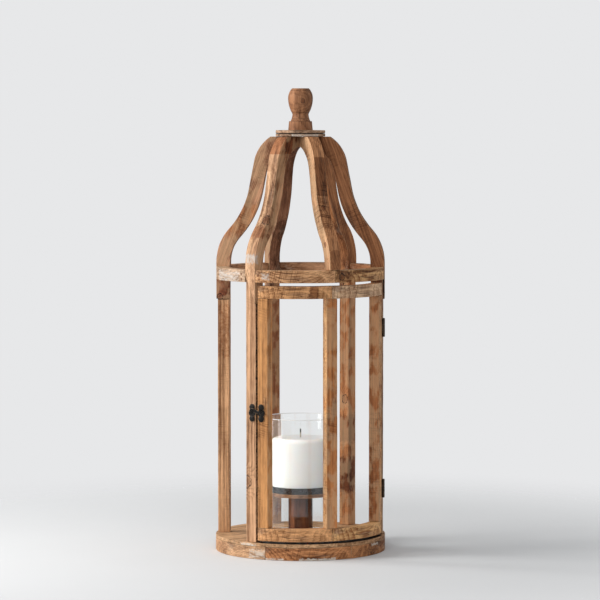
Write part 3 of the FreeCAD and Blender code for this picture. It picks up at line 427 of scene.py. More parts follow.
@dataclass(frozen=True)
class Area:
    """A box-shaped part of a piece's surface, in the row frame or, where own, in the piece's frame."""

    low: Point
    high: Point
    ragged: float = 0.003
    own: bool = False


@dataclass(frozen=True)
class Patch:
    """Filler, whitewash, a stain, or painted shade that lies on the wood."""

    area: Area
    colour: Colour
    amount: float = 1.0
    broken: float = 0.0


@dataclass(frozen=True)
class Tint:
    """A part of the wood made lighter or darker: its colour times a factor. Some tints are painted
    highlights and painted shade.
    """

    area: Area
    factor: Colour


@dataclass(frozen=True)
class Crack:
    """An open line on a face between two points, each across and along the piece in its own frame."""

    start: tuple[float, float]
    end: tuple[float, float]
    width: float = 0.0009
    wobble: float = 0.0012


@dataclass(frozen=True)
class Lie:
    """How a wooden piece lies in the lantern."""

    heading: float
    radius: float
    height: float
    grain: Grain = Grain.UPRIGHT
    lean: float = 19.7

    def centre(self) -> Point:
        """The piece's middle in the row frame."""
        return around(self.heading, self.radius, self.height)

    def turn(self) -> Point:
        """The turn that lays the third axis along the grain and the second inwards."""
        heading = math.radians(self.heading)
        if self.grain is Grain.LEVEL:
            return (0.0, math.radians(90.0), heading)
        if self.grain is Grain.LEANING:
            return (math.radians(-self.lean), 0.0, heading)
        return (0.0, 0.0, heading)


@dataclass(frozen=True)
class Timber:
    """The finish of one wooden piece: reclaimed fir, waxed, with its rings, streaks and marks.

    Attributes:
        tone: the wood's middle colour.
        contrast: how far the pale and the deep colour lie from the tone.
        pith: where the tree's pith lay, across and inwards from the piece's middle, in metres.
        gap: the distance between growth rings, in metres.
        rings: how strongly the growth rings show.
        wander: how far the rings sway along the piece, in metres.
        fibre: how strongly the fine fibres show.
        streaks: how strongly the long streaks show.
        blotches: how unevenly the wax has soaked in.
        bleached: how much of the surface has dried pale.
        sawn: how strongly the saw's marks show.
        grime: how dark the splits are.
        gloss: the roughness around which the fibres vary.
        knots: the knots and the rust spots round nails.
        tints: the parts made lighter or darker, some of them painted highlights and painted shade.
        patches: filler, whitewash and painted shade.
        cracks: the open joint lines and splits.
        painted_shadow_band: two radii between which a painted shadow lies on the board in front, under the
            door, in metres.
    """

    tone: Colour
    contrast: float = 1.0
    pith: tuple[float, float] = (0.045, 0.03)
    gap: float = 0.0026
    rings: float = 0.5
    wander: float = 0.006
    fibre: float = 0.55
    streaks: float = 0.75
    blotches: float = 0.6
    bleached: float = 0.2
    sawn: float = 0.35
    grime: float = 0.5
    gloss: float = 0.66
    knots: tuple[Knot, ...] = ()
    tints: tuple[Tint, ...] = ()
    patches: tuple[Patch, ...] = ()
    cracks: tuple[Crack, ...] = ()
    painted_shadow_band: tuple[float, float] | None = None

    def material(self, name: str, lie: Lie) -> bpy.types.Material:
        """Build the wood's node tree.

        Args:
            name: the material's name.
            lie: how the piece lies.

        Returns:
            The material.
        """
        g = Graph(name)
        seen = g.seen_from(lie.centre(), lie.turn())
        push, core, ring = self._knots(g)
        rings = self._rings(g, seen, push)
        fibre = g.step(g.noise(seen, (520.0, 520.0, 9.0), 3.0, 0.6), 0.3, 0.7)
        shade = self._shade(g, seen, rings, fibre)
        pale = tuple(min(channel * (1.0 + 0.62 * self.contrast), 0.95) for channel in self.tone)
        deep = tuple(
            channel * (1.0 - low * min(self.contrast, 1.2))
            for channel, low in zip(self.tone, (0.56, 0.66, 0.74))
        )
        colour = g.blend(shade, pale, deep)
        soaked = g.step(g.noise(seen, (46.0, 46.0, 12.0), 4.0, 0.7), 0.56, 0.72)
        colour = g.blend(
            g.sum("MULTIPLY", soaked, 0.55 * self.blotches), colour, (0.44, 0.33, 0.25), "MULTIPLY",
        )
        dry = g.step(g.noise(seen, (52.0, 52.0, 9.0), 4.0, 0.7), 0.55, 0.74)
        colour = g.blend(g.sum("MULTIPLY", dry, self.bleached), colour, (0.60, 0.46, 0.34))
        saw = self._saw(g, seen)
        colour = g.blend(g.sum("MULTIPLY", saw, self.sawn), colour, (0.42, 0.34, 0.27), "MULTIPLY")
        pores = g.step(g.noise(seen, (1150.0, 1150.0, 34.0), 2.0, 0.6), 0.56, 0.68)
        colour = g.blend(g.sum("MULTIPLY", pores, 0.5), colour, (0.30, 0.22, 0.17), "MULTIPLY")
        shakes = self._shakes(g, seen)
        colour = g.blend(g.sum("MULTIPLY", shakes, self.grime), colour, (0.030, 0.014, 0.008))
        for tint in self.tints:
            colour = g.blend(self._cover(g, seen, tint.area), colour, tint.factor, "MULTIPLY")
        # Paler rounded edges: partly real wear of the old wood, partly a painted highlight.
        edge_wear_and_highlight = g.sum("MULTIPLY", g.edge_wear_and_highlight(), g.step(g.noise(seen, (70.0, 70.0, 40.0), 3.0), 0.40, 0.56))
        colour = g.blend(g.sum("MULTIPLY", edge_wear_and_highlight, 0.42), colour, (0.66, 0.43, 0.24))
        if core is not None:
            colour = g.blend(core, colour, (0.40, 0.25, 0.17), "MULTIPLY")
            colour = g.blend(ring, colour, (0.022, 0.009, 0.005))
        for patch in self.patches:
            colour = g.blend(self._patched(g, seen, patch), colour, patch.colour)
        # Painted shadow: the board under the door is laid near-black.
        if self.painted_shadow_band is not None:
            colour = g.blend(self._painted_shadow(g), colour, (0.014, 0.008, 0.005))
        for crack in self.cracks:
            open_line = self._crack(g, seen, crack)
            colour = g.blend(open_line, colour, (0.012, 0.007, 0.005))
            shakes = g.sum("MAXIMUM", shakes, open_line)
        g.feed(g.shader.inputs["Base Color"], colour)
        rough = g.sum("ADD", g.sum("MULTIPLY", fibre, 0.22), self.gloss - 0.11)
        g.feed(
            g.shader.inputs["Roughness"],
            g.sum("SUBTRACT", rough, g.sum("MULTIPLY", edge_wear_and_highlight, 0.12), clamp=True),
        )
        g.shader.inputs["Specular IOR Level"].default_value = 0.22
        height = g.sum("SUBTRACT", g.sum("MULTIPLY", fibre, 0.6), g.sum("MULTIPLY", pores, 0.5))
        for value, depth in ((rings, 0.3), (saw, self.sawn * 1.4), (shakes, 2.2)):
            height = g.sum("SUBTRACT", height, g.sum("MULTIPLY", value, depth))
        g.feed(g.shader.inputs["Normal"], g.relief(height, 0.0006, 0.8))
        return g.material

    def _shade(
        self,
        g: Graph,
        seen: bpy.types.NodeSocket,
        rings: bpy.types.NodeSocket,
        fibre: bpy.types.NodeSocket,
    ) -> bpy.types.NodeSocket:
        """How dark the wood is: its rings, fibres, streaks and clouds together, around a half."""
        streak = g.step(g.noise(seen, (170.0, 170.0, 1.9), 3.0, 0.55), 0.32, 0.68)
        band = g.step(g.noise(seen, (62.0, 62.0, 1.1), 2.0, 0.5), 0.34, 0.66)
        blotch = g.step(g.noise(seen, (30.0, 30.0, 8.0), 4.0, 0.62), 0.34, 0.66)
        mottle = g.step(g.noise(seen, (120.0, 120.0, 52.0), 3.0, 0.65), 0.34, 0.66)
        uneven = g.noise(seen, (40.0, 40.0, 4.0), 1.0)
        shade = g.sum(
            "MULTIPLY", g.sum("SUBTRACT", rings, 0.3), g.sum("MULTIPLY", uneven, self.rings * 1.7),
        )
        shares = (
            (fibre, self.fibre),
            (streak, self.streaks),
            (band, self.streaks * 0.5),
            (blotch, self.blotches * 0.8),
            (mottle, self.blotches * 0.45),
        )
        for value, share in shares:
            shade = g.sum("ADD", shade, g.sum("MULTIPLY", g.sum("SUBTRACT", value, 0.5), share * 0.62))
        return g.sum("ADD", shade, 0.5, clamp=True)

    def _rings(
        self, g: Graph, seen: bpy.types.NodeSocket, push: bpy.types.NodeSocket | None,
    ) -> bpy.types.NodeSocket:
        """The growth rings: 0 in the early wood, rising to 1 in the late wood."""
        x, y, _ = g.axes(seen)
        sway_x = g.sum(
            "MULTIPLY", g.sum("SUBTRACT", g.noise(seen, (12.0, 12.0, 3.2), 2.0), 0.5), self.wander,
        )
        sway_y = g.sum(
            "MULTIPLY", g.sum("SUBTRACT", g.noise(seen, (14.0, 9.0, 2.8), 2.0), 0.5), self.wander,
        )
        from_pith = g.joined(
            g.sum("ADD", g.sum("SUBTRACT", x, self.pith[0]), sway_x),
            g.sum("ADD", g.sum("SUBTRACT", y, self.pith[1]), sway_y),
            0.0,
        )
        radius = g.vector("LENGTH", from_pith)
        if push is not None:
            radius = g.sum("ADD", radius, push)
        years = g.sum("DIVIDE", radius, self.gap)
        years = g.sum("ADD", years, g.sum("MULTIPLY", g.noise(seen, (220.0, 220.0, 7.0), 2.0), 0.9))
        return g.ramp(
            g.sum("FRACT", years), ((0.0, 0.0), (0.35, 0.10), (0.70, 0.45), (0.88, 1.0), (1.0, 0.12)),
        )

    def _saw(self, g: Graph, seen: bpy.types.NodeSocket) -> bpy.types.NodeSocket:
        """The marks of the saw: fine lines a little askew across the grain, in places only."""
        x, y, z = g.axes(seen)
        askew = g.joined(x, y, g.sum("ADD", z, g.sum("MULTIPLY", x, 0.22)))
        lines = g.step(g.noise(askew, (20.0, 20.0, 430.0), 2.0, 0.6), 0.50, 0.64)
        return g.sum("MULTIPLY", lines, g.step(g.noise(seen, (24.0, 24.0, 11.0), 2.0), 0.46, 0.58))

    def _shakes(self, g: Graph, seen: bpy.types.NodeSocket) -> bpy.types.NodeSocket:
        """Short dark splits along the grain, in places only."""
        ridge = g.sum("ABSOLUTE", g.sum("SUBTRACT", g.noise(seen, (135.0, 135.0, 5.0), 2.0, 0.5), 0.5))
        return g.sum(
            "MULTIPLY",
            g.step(ridge, 0.016, 0.004),
            g.step(g.noise(seen, (38.0, 38.0, 13.0), 2.0), 0.55, 0.62),
        )

    def _knots(self, g: Graph) -> tuple[bpy.types.NodeSocket | None, ...]:
        """How far the knots push the rings aside, their cores and their dark rings."""
        if not self.knots:
            return None, None, None
        place = g.place()
        rough = g.sum("SUBTRACT", g.noise(place, (210.0, 210.0, 210.0), 3.0, 0.6), 0.5)
        push, core, ring = None, None, None
        for knot in self.knots:
            away = g.vector("SUBTRACT", place, knot.place)
            away = g.vector("MULTIPLY", away, (1.0, 1.0, knot.flat))
            far = g.sum("ADD", g.vector("LENGTH", away), g.sum("MULTIPLY", rough, knot.radius * 0.7))
            near = g.sum("MULTIPLY", g.step(far, knot.radius * 3.4, 0.0), knot.radius * 1.3)
            inside = g.sum("MULTIPLY", g.step(far, knot.radius * 1.5, knot.radius * 0.3), knot.core)
            off = g.sum("ABSOLUTE", g.sum("SUBTRACT", far, knot.radius))
            edge = g.sum("MULTIPLY", g.step(off, knot.radius * 0.22, knot.radius * 0.04), knot.ring)
            push = near if push is None else g.sum("ADD", push, near)
            core = inside if core is None else g.sum("MAXIMUM", core, inside)
            ring = edge if ring is None else g.sum("MAXIMUM", ring, edge)
        broken = g.step(g.noise(place, (330.0, 330.0, 330.0), 2.0), 0.36, 0.5)
        return push, core, g.sum("MULTIPLY", ring, broken)

    def _cover(self, g: Graph, seen: bpy.types.NodeSocket, area: Area) -> bpy.types.NodeSocket:
        """1 inside an area, 0 outside, with a ragged edge."""
        place = seen if area.own else g.place()
        uneven = g.sum("SUBTRACT", g.noise(place, (260.0, 260.0, 260.0), 3.0, 0.65), 0.5)
        middle = tuple((a + b) / 2 for a, b in zip(area.low, area.high))
        half = tuple(abs(b - a) / 2 for a, b in zip(area.low, area.high))
        off = g.vector("ABSOLUTE", g.vector("SUBTRACT", place, middle))
        inside = g.axes(g.vector("SUBTRACT", half, off))
        least = g.sum("MINIMUM", g.sum("MINIMUM", inside[0], inside[1]), inside[2])
        spread = max(area.ragged, 0.0003)
        return g.step(
            g.sum("ADD", least, g.sum("MULTIPLY", uneven, area.ragged * 5.0)), -spread * 0.5, spread,
        )

    def _patched(self, g: Graph, seen: bpy.types.NodeSocket, patch: Patch) -> bpy.types.NodeSocket:
        """How strongly a patch covers the wood: brushed thin, with the wood showing through."""
        cover = self._cover(g, seen, patch.area)
        brushed = g.step(
            g.noise(seen, (330.0, 330.0, 60.0), 4.0, 0.7),
            0.22 + 0.36 * patch.broken,
            0.50 + 0.30 * patch.broken,
        )
        return g.sum("MULTIPLY", g.sum("MULTIPLY", cover, brushed), patch.amount)

    def _painted_shadow(self, g: Graph) -> bpy.types.NodeSocket:
        """1 where a painted shadow lies on the board under the door, between two radii."""
        low, high = self.painted_shadow_band
        x, y, _ = g.axes(g.place())
        radius = g.vector("LENGTH", g.joined(x, y, 0.0))
        band = g.sum(
            "MULTIPLY",
            g.step(radius, low - 0.001, low + 0.001),
            g.step(radius, high + 0.0004, high - 0.0006),
        )
        ahead = g.sum("DIVIDE", g.sum("MULTIPLY", y, -1.0), radius)
        return g.sum("MULTIPLY", band, g.step(ahead, 0.57, 0.60))

    def _crack(self, g: Graph, seen: bpy.types.NodeSocket, crack: Crack) -> bpy.types.NodeSocket:
        """1 in an open line, 0 beside it."""
        x, _, z = g.axes(seen)
        run = (crack.end[0] - crack.start[0], crack.end[1] - crack.start[1])
        length = math.hypot(*run)
        aim = (run[0] / length, run[1] / length)
        sway = g.sum(
            "MULTIPLY",
            g.sum("SUBTRACT", g.noise(seen, (150.0, 150.0, 90.0), 2.0), 0.5),
            crack.wobble * 2.0,
        )
        across = g.sum("ADD", g.sum("SUBTRACT", x, crack.start[0]), sway)
        along = g.sum("SUBTRACT", z, crack.start[1])
        reach = g.sum("ADD", g.sum("MULTIPLY", across, aim[0]), g.sum("MULTIPLY", along, aim[1]))
        reach = g.sum("MINIMUM", g.sum("MAXIMUM", reach, 0.0), length)
        away = g.joined(
            g.sum("SUBTRACT", across, g.sum("MULTIPLY", reach, aim[0])),
            g.sum("SUBTRACT", along, g.sum("MULTIPLY", reach, aim[1])),
            0.0,
        )
        return g.step(g.vector("LENGTH", away), crack.width, crack.width * 0.35)


@dataclass(frozen=True)
class Iron:
    """Black iron with warm brown metal at its edges: partly real wear, partly a painted highlight."""

    black: Colour = (0.012, 0.011, 0.010)
    bronze_and_highlight: Colour = (0.42, 0.29, 0.19)
    rubbed_and_highlit: float = 0.85

    def material(self, name: str) -> bpy.types.Material:
        """Build the iron's node tree under the given name and return it."""
        g = Graph(name)
        place = g.place()
        cast = g.noise(place, (420.0, 420.0, 420.0), 3.0, 0.6)
        rub_and_highlight = g.step(g.noise(place, (260.0, 260.0, 260.0), 2.0), 0.40, 0.58)
        rub_and_highlight = g.sum("MULTIPLY", g.sum("MULTIPLY", g.edge_wear_and_highlight(), rub_and_highlight), self.rubbed_and_highlit)
        dull = g.blend(cast, self.black, (0.030, 0.026, 0.023))
        g.feed(g.shader.inputs["Base Color"], g.blend(rub_and_highlight, dull, self.bronze_and_highlight))
        g.shader.inputs["Metallic"].default_value = 0.85
        g.feed(
            g.shader.inputs["Roughness"],
            g.sum(
                "SUBTRACT", g.sum("ADD", g.sum("MULTIPLY", cast, 0.3), 0.32), g.sum("MULTIPLY", rub_and_highlight, 0.12),
            ),
        )
        g.feed(g.shader.inputs["Normal"], g.relief(cast, 0.0002, 0.6))
        return g.material


@dataclass(frozen=True)
class Zinc:
    """Plated steel of the screws and hinges, a little dulled."""

    bright: Colour = (0.46, 0.45, 0.43)
    dull: Colour = (0.20, 0.17, 0.14)

    def material(self, name: str) -> bpy.types.Material:
        """Build the plating's node tree under the given name and return it."""
        g = Graph(name)
        place = g.place()
        cloud = g.noise(place, (300.0, 300.0, 300.0), 3.0, 0.6)
        brushed = g.noise(place, (2600.0, 2600.0, 90.0), 2.0)
        g.feed(g.shader.inputs["Base Color"], g.blend(g.step(cloud, 0.42, 0.68), self.bright, self.dull))
        g.shader.inputs["Metallic"].default_value = 1.0
        g.feed(g.shader.inputs["Roughness"], g.sum("ADD", g.sum("MULTIPLY", cloud, 0.3), 0.24))
        g.feed(g.shader.inputs["Normal"], g.relief(brushed, 0.00006, 0.6))
        return g.material


@dataclass(frozen=True)
class DishMetal:
    """The black satin of the candle dish, with dust and fine scratches round it."""

    black: Colour = (0.012, 0.012, 0.013)
    dust: Colour = (0.09, 0.085, 0.08)

    def material(self, name: str) -> bpy.types.Material:
        """Build the dish's node tree under the given name and return it."""
        g = Graph(name)
        place = g.place()
        dust = g.step(g.noise(place, (70.0, 70.0, 160.0), 4.0, 0.65), 0.52, 0.78)
        scratch = g.step(g.noise(place, (30.0, 30.0, 2400.0), 2.0), 0.60, 0.70)
        g.feed(g.shader.inputs["Base Color"], g.blend(g.sum("MULTIPLY", dust, 0.5), self.black, self.dust))
        g.shader.inputs["Specular IOR Level"].default_value = 0.5
        g.feed(g.shader.inputs["Roughness"], g.sum("ADD", g.sum("MULTIPLY", dust, 0.25), 0.26))
        g.feed(g.shader.inputs["Normal"], g.relief(scratch, 0.00005, 0.5))
        return g.material


@dataclass(frozen=True)
class ClearGlass:
    """The clear glass of the sleeve, which lets the lamps through to what stands in it."""

    tint: Colour = (0.985, 0.993, 0.99)
    index: float = 1.5
    foot: float = 0.028
    top: float = 0.231

    def material(self, name: str) -> bpy.types.Material:
        """Build the glass's node tree under the given name and return it."""
        g = Graph(name)
        place = g.place()
        wave = g.noise(place, (14.0, 14.0, 30.0), 2.0)
        g.shader.inputs["Base Color"].default_value = (*self.tint, 1.0)
        g.shader.inputs["Transmission Weight"].default_value = 1.0
        g.shader.inputs["IOR"].default_value = self.index
        g.shader.inputs["Roughness"].default_value = 0.0
        g.feed(g.shader.inputs["Normal"], g.relief(wave, 0.0006, 0.25))
        # The whitish top and foot rims: frosted rim glass and a painted highlight.
        ground_rim_and_highlight = g.nodes.new("ShaderNodeBsdfDiffuse")
        ground_rim_and_highlight.inputs["Color"].default_value = (0.90, 0.92, 0.91, 1.0)
        _, _, height = g.axes(place)
        rims = g.nodes.new("ShaderNodeMixShader")
        rim = g.sum(
            "MAXIMUM",
            g.step(height, self.top - 0.0014, self.top - 0.0006),
            g.step(height, self.foot + 0.0014, self.foot + 0.0006),
        )
        g.feed(rims.inputs[0], g.sum("MULTIPLY", rim, 0.6))
        g.links.new(g.shader.outputs["BSDF"], rims.inputs[1])
        g.links.new(ground_rim_and_highlight.outputs[0], rims.inputs[2])
        clear = g.nodes.new("ShaderNodeBsdfTransparent")
        clear.inputs[0].default_value = (0.94, 0.95, 0.945, 1.0)
        path = g.nodes.new("ShaderNodeLightPath")
        through = g.nodes.new("ShaderNodeMixShader")
        g.feed(through.inputs[0], path.outputs["Is Shadow Ray"])
        g.links.new(rims.outputs[0], through.inputs[1])
        g.links.new(clear.outputs[0], through.inputs[2])
        g.links.new(through.outputs[0], g.output.inputs["Surface"])
        return g.material


@dataclass(frozen=True)
class Wax:
    """White candle wax, slightly translucent, with faint clouds and handling marks."""

    white: Colour = (0.77, 0.765, 0.755)
    cream: Colour = (0.75, 0.735, 0.71)

    def material(self, name: str) -> bpy.types.Material:
        """Build the wax's node tree under the given name and return it."""
        g = Graph(name)
        place = g.place()
        cloud = g.noise(place, (24.0, 24.0, 16.0), 3.0, 0.6)
        grain = g.noise(place, (520.0, 520.0, 520.0), 2.0)
        g.feed(g.shader.inputs["Base Color"], g.blend(g.step(cloud, 0.42, 0.72), self.white, self.cream))
        g.shader.inputs["Subsurface Weight"].default_value = 0.6
        g.shader.inputs["Subsurface Radius"].default_value = (0.9, 0.6, 0.4)
        g.shader.inputs["Subsurface Scale"].default_value = 0.02
        g.feed(g.shader.inputs["Roughness"], g.sum("ADD", g.sum("MULTIPLY", cloud, 0.2), 0.36))
        g.feed(
            g.shader.inputs["Normal"],
            g.relief(g.sum("ADD", cloud, g.sum("MULTIPLY", grain, 0.2)), 0.0005, 0.4),
        )
        return g.material


@dataclass(frozen=True)
class BraidedWick:
    """Braided cotton, cream below and charred at the top."""

    cotton: Colour = (0.52, 0.46, 0.36)
    charred: Colour = (0.012, 0.011, 0.010)
    char_level: float = 0.2035

    def material(self, name: str) -> bpy.types.Material:
        """Build the wick's node tree under the given name and return it."""
        g = Graph(name)
        place = g.place()
        x, y, z = g.axes(place)
        twist = g.sum("ADD", g.sum("MULTIPLY", z, 4200.0), g.sum("MULTIPLY", g.sum("ARCTAN2", y, x), 2.0))
        braid = g.sum("ABSOLUTE", g.sum("SINE", twist))
        burnt = g.step(
            g.sum("ADD", z, g.sum("MULTIPLY", g.noise(place, (900.0, 900.0, 900.0)), 0.002)),
            self.char_level - 0.001,
            self.char_level + 0.002,
        )
        thread = g.blend(braid, (0.30, 0.26, 0.20), self.cotton)
        g.feed(g.shader.inputs["Base Color"], g.blend(burnt, thread, self.charred))
        g.shader.inputs["Roughness"].default_value = 0.9
        g.feed(g.shader.inputs["Normal"], g.relief(braid, 0.0004, 0.9))
        return g.material


@dataclass(frozen=True)
class WoodenPiece:
    """One sawn piece: its CAD node, how it lies and its finish."""

    node: str
    lie: Lie
    timber: Timber
    easing: float = 0.0008
    step: float = 0.011
    across: bool = False
    crisp: float = 0.003
    planed_off: float = 0.0005
    plane_wave: float = 0.022
    soft_turn: float = 38.0

    def build(self) -> bpy.types.Object:
        """Copy the CAD solid and work its edges and faces as a saw and a hand would.

        Returns:
            The worked piece.
        """
        piece = Bench.copy_of(self.node)
        Bench.ease_edges(piece, self.easing, shortest=self.crisp)
        heading = math.radians(self.lie.heading)
        tangent = (math.cos(heading), math.sin(heading), 0.0)
        Bench.cut_up(piece, tangent if self.lie.grain is Grain.LEVEL else (0.0, 0.0, 1.0), self.step)
        if self.across:
            Bench.cut_up(piece, (-tangent[1], tangent[0], 0.0), self.step)
        Bench.waver(piece, self.planed_off, self.plane_wave)
        Bench.smooth(piece, self.soft_turn)
        return piece

    def dress(self, piece: bpy.types.Object, body: Body) -> None:
        """Give the worked piece its wood and its body, and hide its CAD node."""
        Bench.hand_in(piece, self.timber.material(f"wood_{self.node}", self.lie), body, self.node)


@dataclass
class SubAssembly:
    """A group of sawn pieces that ride on one body."""

    body: Body = Body.FRAME

    def pieces(self) -> list[WoodenPiece]:
        """The group's sawn pieces."""
        return []

    def make(self) -> None:
        """Build and dress each piece."""
        for wooden in self.pieces():
            wooden.dress(wooden.build(), self.body)


PLAIN_TAN = Timber((0.40, 0.215, 0.115))
PLAIN_BROWN = Timber((0.31, 0.135, 0.058))
FILLER: Colour = (0.72, 0.66, 0.58)
WHITEWASH: Colour = (0.66, 0.61, 0.56)
# Near-black painted shade for narrow gaps and joints between parts.
PAINTED_SHADE: Colour = (0.010, 0.006, 0.004)
SCARF = Crack((-0.0104, 0.2460), (0.0104, 0.2000), 0.0011)
RIB_SCARF = Crack((-0.0104, -0.1279), (0.0104, -0.1712), 0.0011)


@dataclass
class RoundBase(SubAssembly):
    """The thin round board on its ring of six sawn segments."""

    rim_radius: float = 0.1315
    segment_height: float = 0.011
    board_height: float = 0.025
    past_post: float = 12.0
    front_past_post: float = -18.0
    rim_easing: float = 0.0010

    def pieces(self) -> list[WoodenPiece]:
        """The board and the six segments, each from another plank."""
        segment_wood = {
            1: (
                Timber(
                    (0.33, 0.145, 0.058),
                    1.1,
                    pith=(0.05, 0.12),
                    blotches=1.0,
                    grime=0.9,
                    sawn=0.6,
                    patches=(
                        Patch(
                            Area((0.078, -0.14, 0.0165), (0.096, -0.10, 0.0205), 0.0012), FILLER, 0.9, 0.3,
                        ),
                        Patch(
                            Area((0.112, -0.11, 0.003), (0.126, -0.07, 0.0125), 0.0016), FILLER, 0.7, 0.7,
                        ),
                    ),
                    cracks=(Crack((0.0005, -0.050), (-0.0015, -0.024), 0.0009),),
                ),
                60,
            ),
            2: (PLAIN_BROWN, 120),
            3: (PLAIN_TAN, 180),
            4: (PLAIN_BROWN, -120),
            5: (
                Timber(
                    (0.57, 0.345, 0.195),
                    0.8,
                    pith=(0.09, 0.03),
                    bleached=0.35,
                    tints=(
                        Tint(Area((-0.16, -0.02, -0.01), (-0.13, 0.04, 0.03), 0.01), (0.8, 0.72, 0.66)),
                    ),
                    patches=(
                        Patch(
                            Area((-0.130, -0.104, 0.001), (-0.110, -0.072, 0.0165), 0.003),
                            FILLER,
                            0.8,
                            0.35,
                        ),
                    ),
                ),
                -60,
            ),
            6: (
                Timber(
                    (0.44, 0.195, 0.080),
                    1.0,
                    pith=(0.02, 0.05),
                    blotches=0.6,
                    grime=0.8,
                    sawn=0.5,
                    patches=(
                        Patch(
                            Area((-0.062, -0.150, -0.001), (0.0, -0.125, 0.0042), 0.0014),
                            FILLER,
                            0.95,
                            0.25,
                        ),
                        Patch(
                            Area((-0.118, -0.125, -0.001), (-0.085, -0.090, 0.0040), 0.0014),
                            FILLER,
                            0.85,
                            0.4,
                        ),
                    ),
                ),
                0,
            ),
        }
        made = []
        for number, (timber, heading) in segment_wood.items():
            turn = self.front_past_post if number == 6 else self.past_post
            lie = Lie(heading + turn, self.rim_radius, self.segment_height, Grain.LEVEL)
            made.append(WoodenPiece(f"base_segment_{number}", lie, timber, easing=self.rim_easing))
        board = Timber(
            (0.52, 0.315, 0.17),
            0.85,
            pith=(0.30, 0.03),
            gap=0.004,
            rings=0.5,
            painted_shadow_band=(0.1195, 0.1440),
            tints=(Tint(Area((0.0, -0.16, 0.02), (0.16, -0.03, 0.03), 0.012), (0.52, 0.42, 0.36)),),
            patches=(
                Patch(Area((-0.140, -0.085, 0.0205), (-0.120, -0.055, 0.0262), 0.002), FILLER, 0.9, 0.2),
            ),
        )
        made.append(
            WoodenPiece("base_board", Lie(20, 0.0, self.board_height, Grain.LEVEL), board, across=True)
        )
        return made


@dataclass
class Posts(SubAssembly):
    """The five square posts."""

    centre_radius: float = 0.133
    middle_height: float = 0.235

    def pieces(self) -> list[WoodenPiece]:
        """The posts by the side of the lantern that they stand at."""
        # Painted shade: the post's side that faces the door is laid near-black, as the narrow gap is in
        # deep shadow.
        shade_in_door_gap = Area((0.0101, -0.012, -0.25), (0.02, 0.02, 0.30), 0.0003, own=True)
        woods = {
            "post_back_left": (
                -120,
                Timber(
                    (0.52, 0.295, 0.155),
                    pith=(0.06, -0.03),
                    streaks=1.0,
                    cracks=(SCARF,),
                    tints=(
                        Tint(
                            Area((-0.012, -0.02, 0.10), (0.012, 0.02, 0.19), 0.006, own=True),
                            (0.72, 0.58, 0.50),
                        ),
                    ),
                ),
            ),
            "post_latch": (
                -60,
                Timber(
                    (0.49, 0.280, 0.155),
                    0.9,
                    pith=(-0.02, -0.06),
                    streaks=1.1,
                    sawn=0.2,
                    cracks=(SCARF,),
                    knots=(Knot((-0.1285, -0.0645, 0.131), 0.0085, core=0.25, ring=1.0),),
                    patches=(Patch(shade_in_door_gap, PAINTED_SHADE),),
                ),
            ),
            "post_hinge": (60, Timber((0.20, 0.085, 0.037), pith=(0.03, 0.06), cracks=(SCARF,))),
            "post_back_right": (
                117.3,
                Timber(
                    (0.42, 0.175, 0.068),
                    0.9,
                    pith=(0.03, -0.05),
                    blotches=0.35,
                    bleached=0.0,
                    streaks=1.0,
                    knots=(Knot((0.1105, 0.0546, 0.252), 0.006, core=0.4),),
                    tints=(
                        Tint(Area((0.085, 0.03, 0.085), (0.135, 0.09, 0.150), 0.006), (0.40, 0.30, 0.26)),
                        Tint(Area((0.085, 0.03, 0.175), (0.135, 0.09, 0.225), 0.006), (0.50, 0.40, 0.34)),
                    ),
                ),
            ),
            "post_back": (178, Timber((0.26, 0.106, 0.048), pith=(-0.05, 0.02), blotches=0.7)),
        }
        return [
            WoodenPiece(node, Lie(heading, self.centre_radius, self.middle_height), timber)
            for node, (heading, timber) in woods.items()
        ]


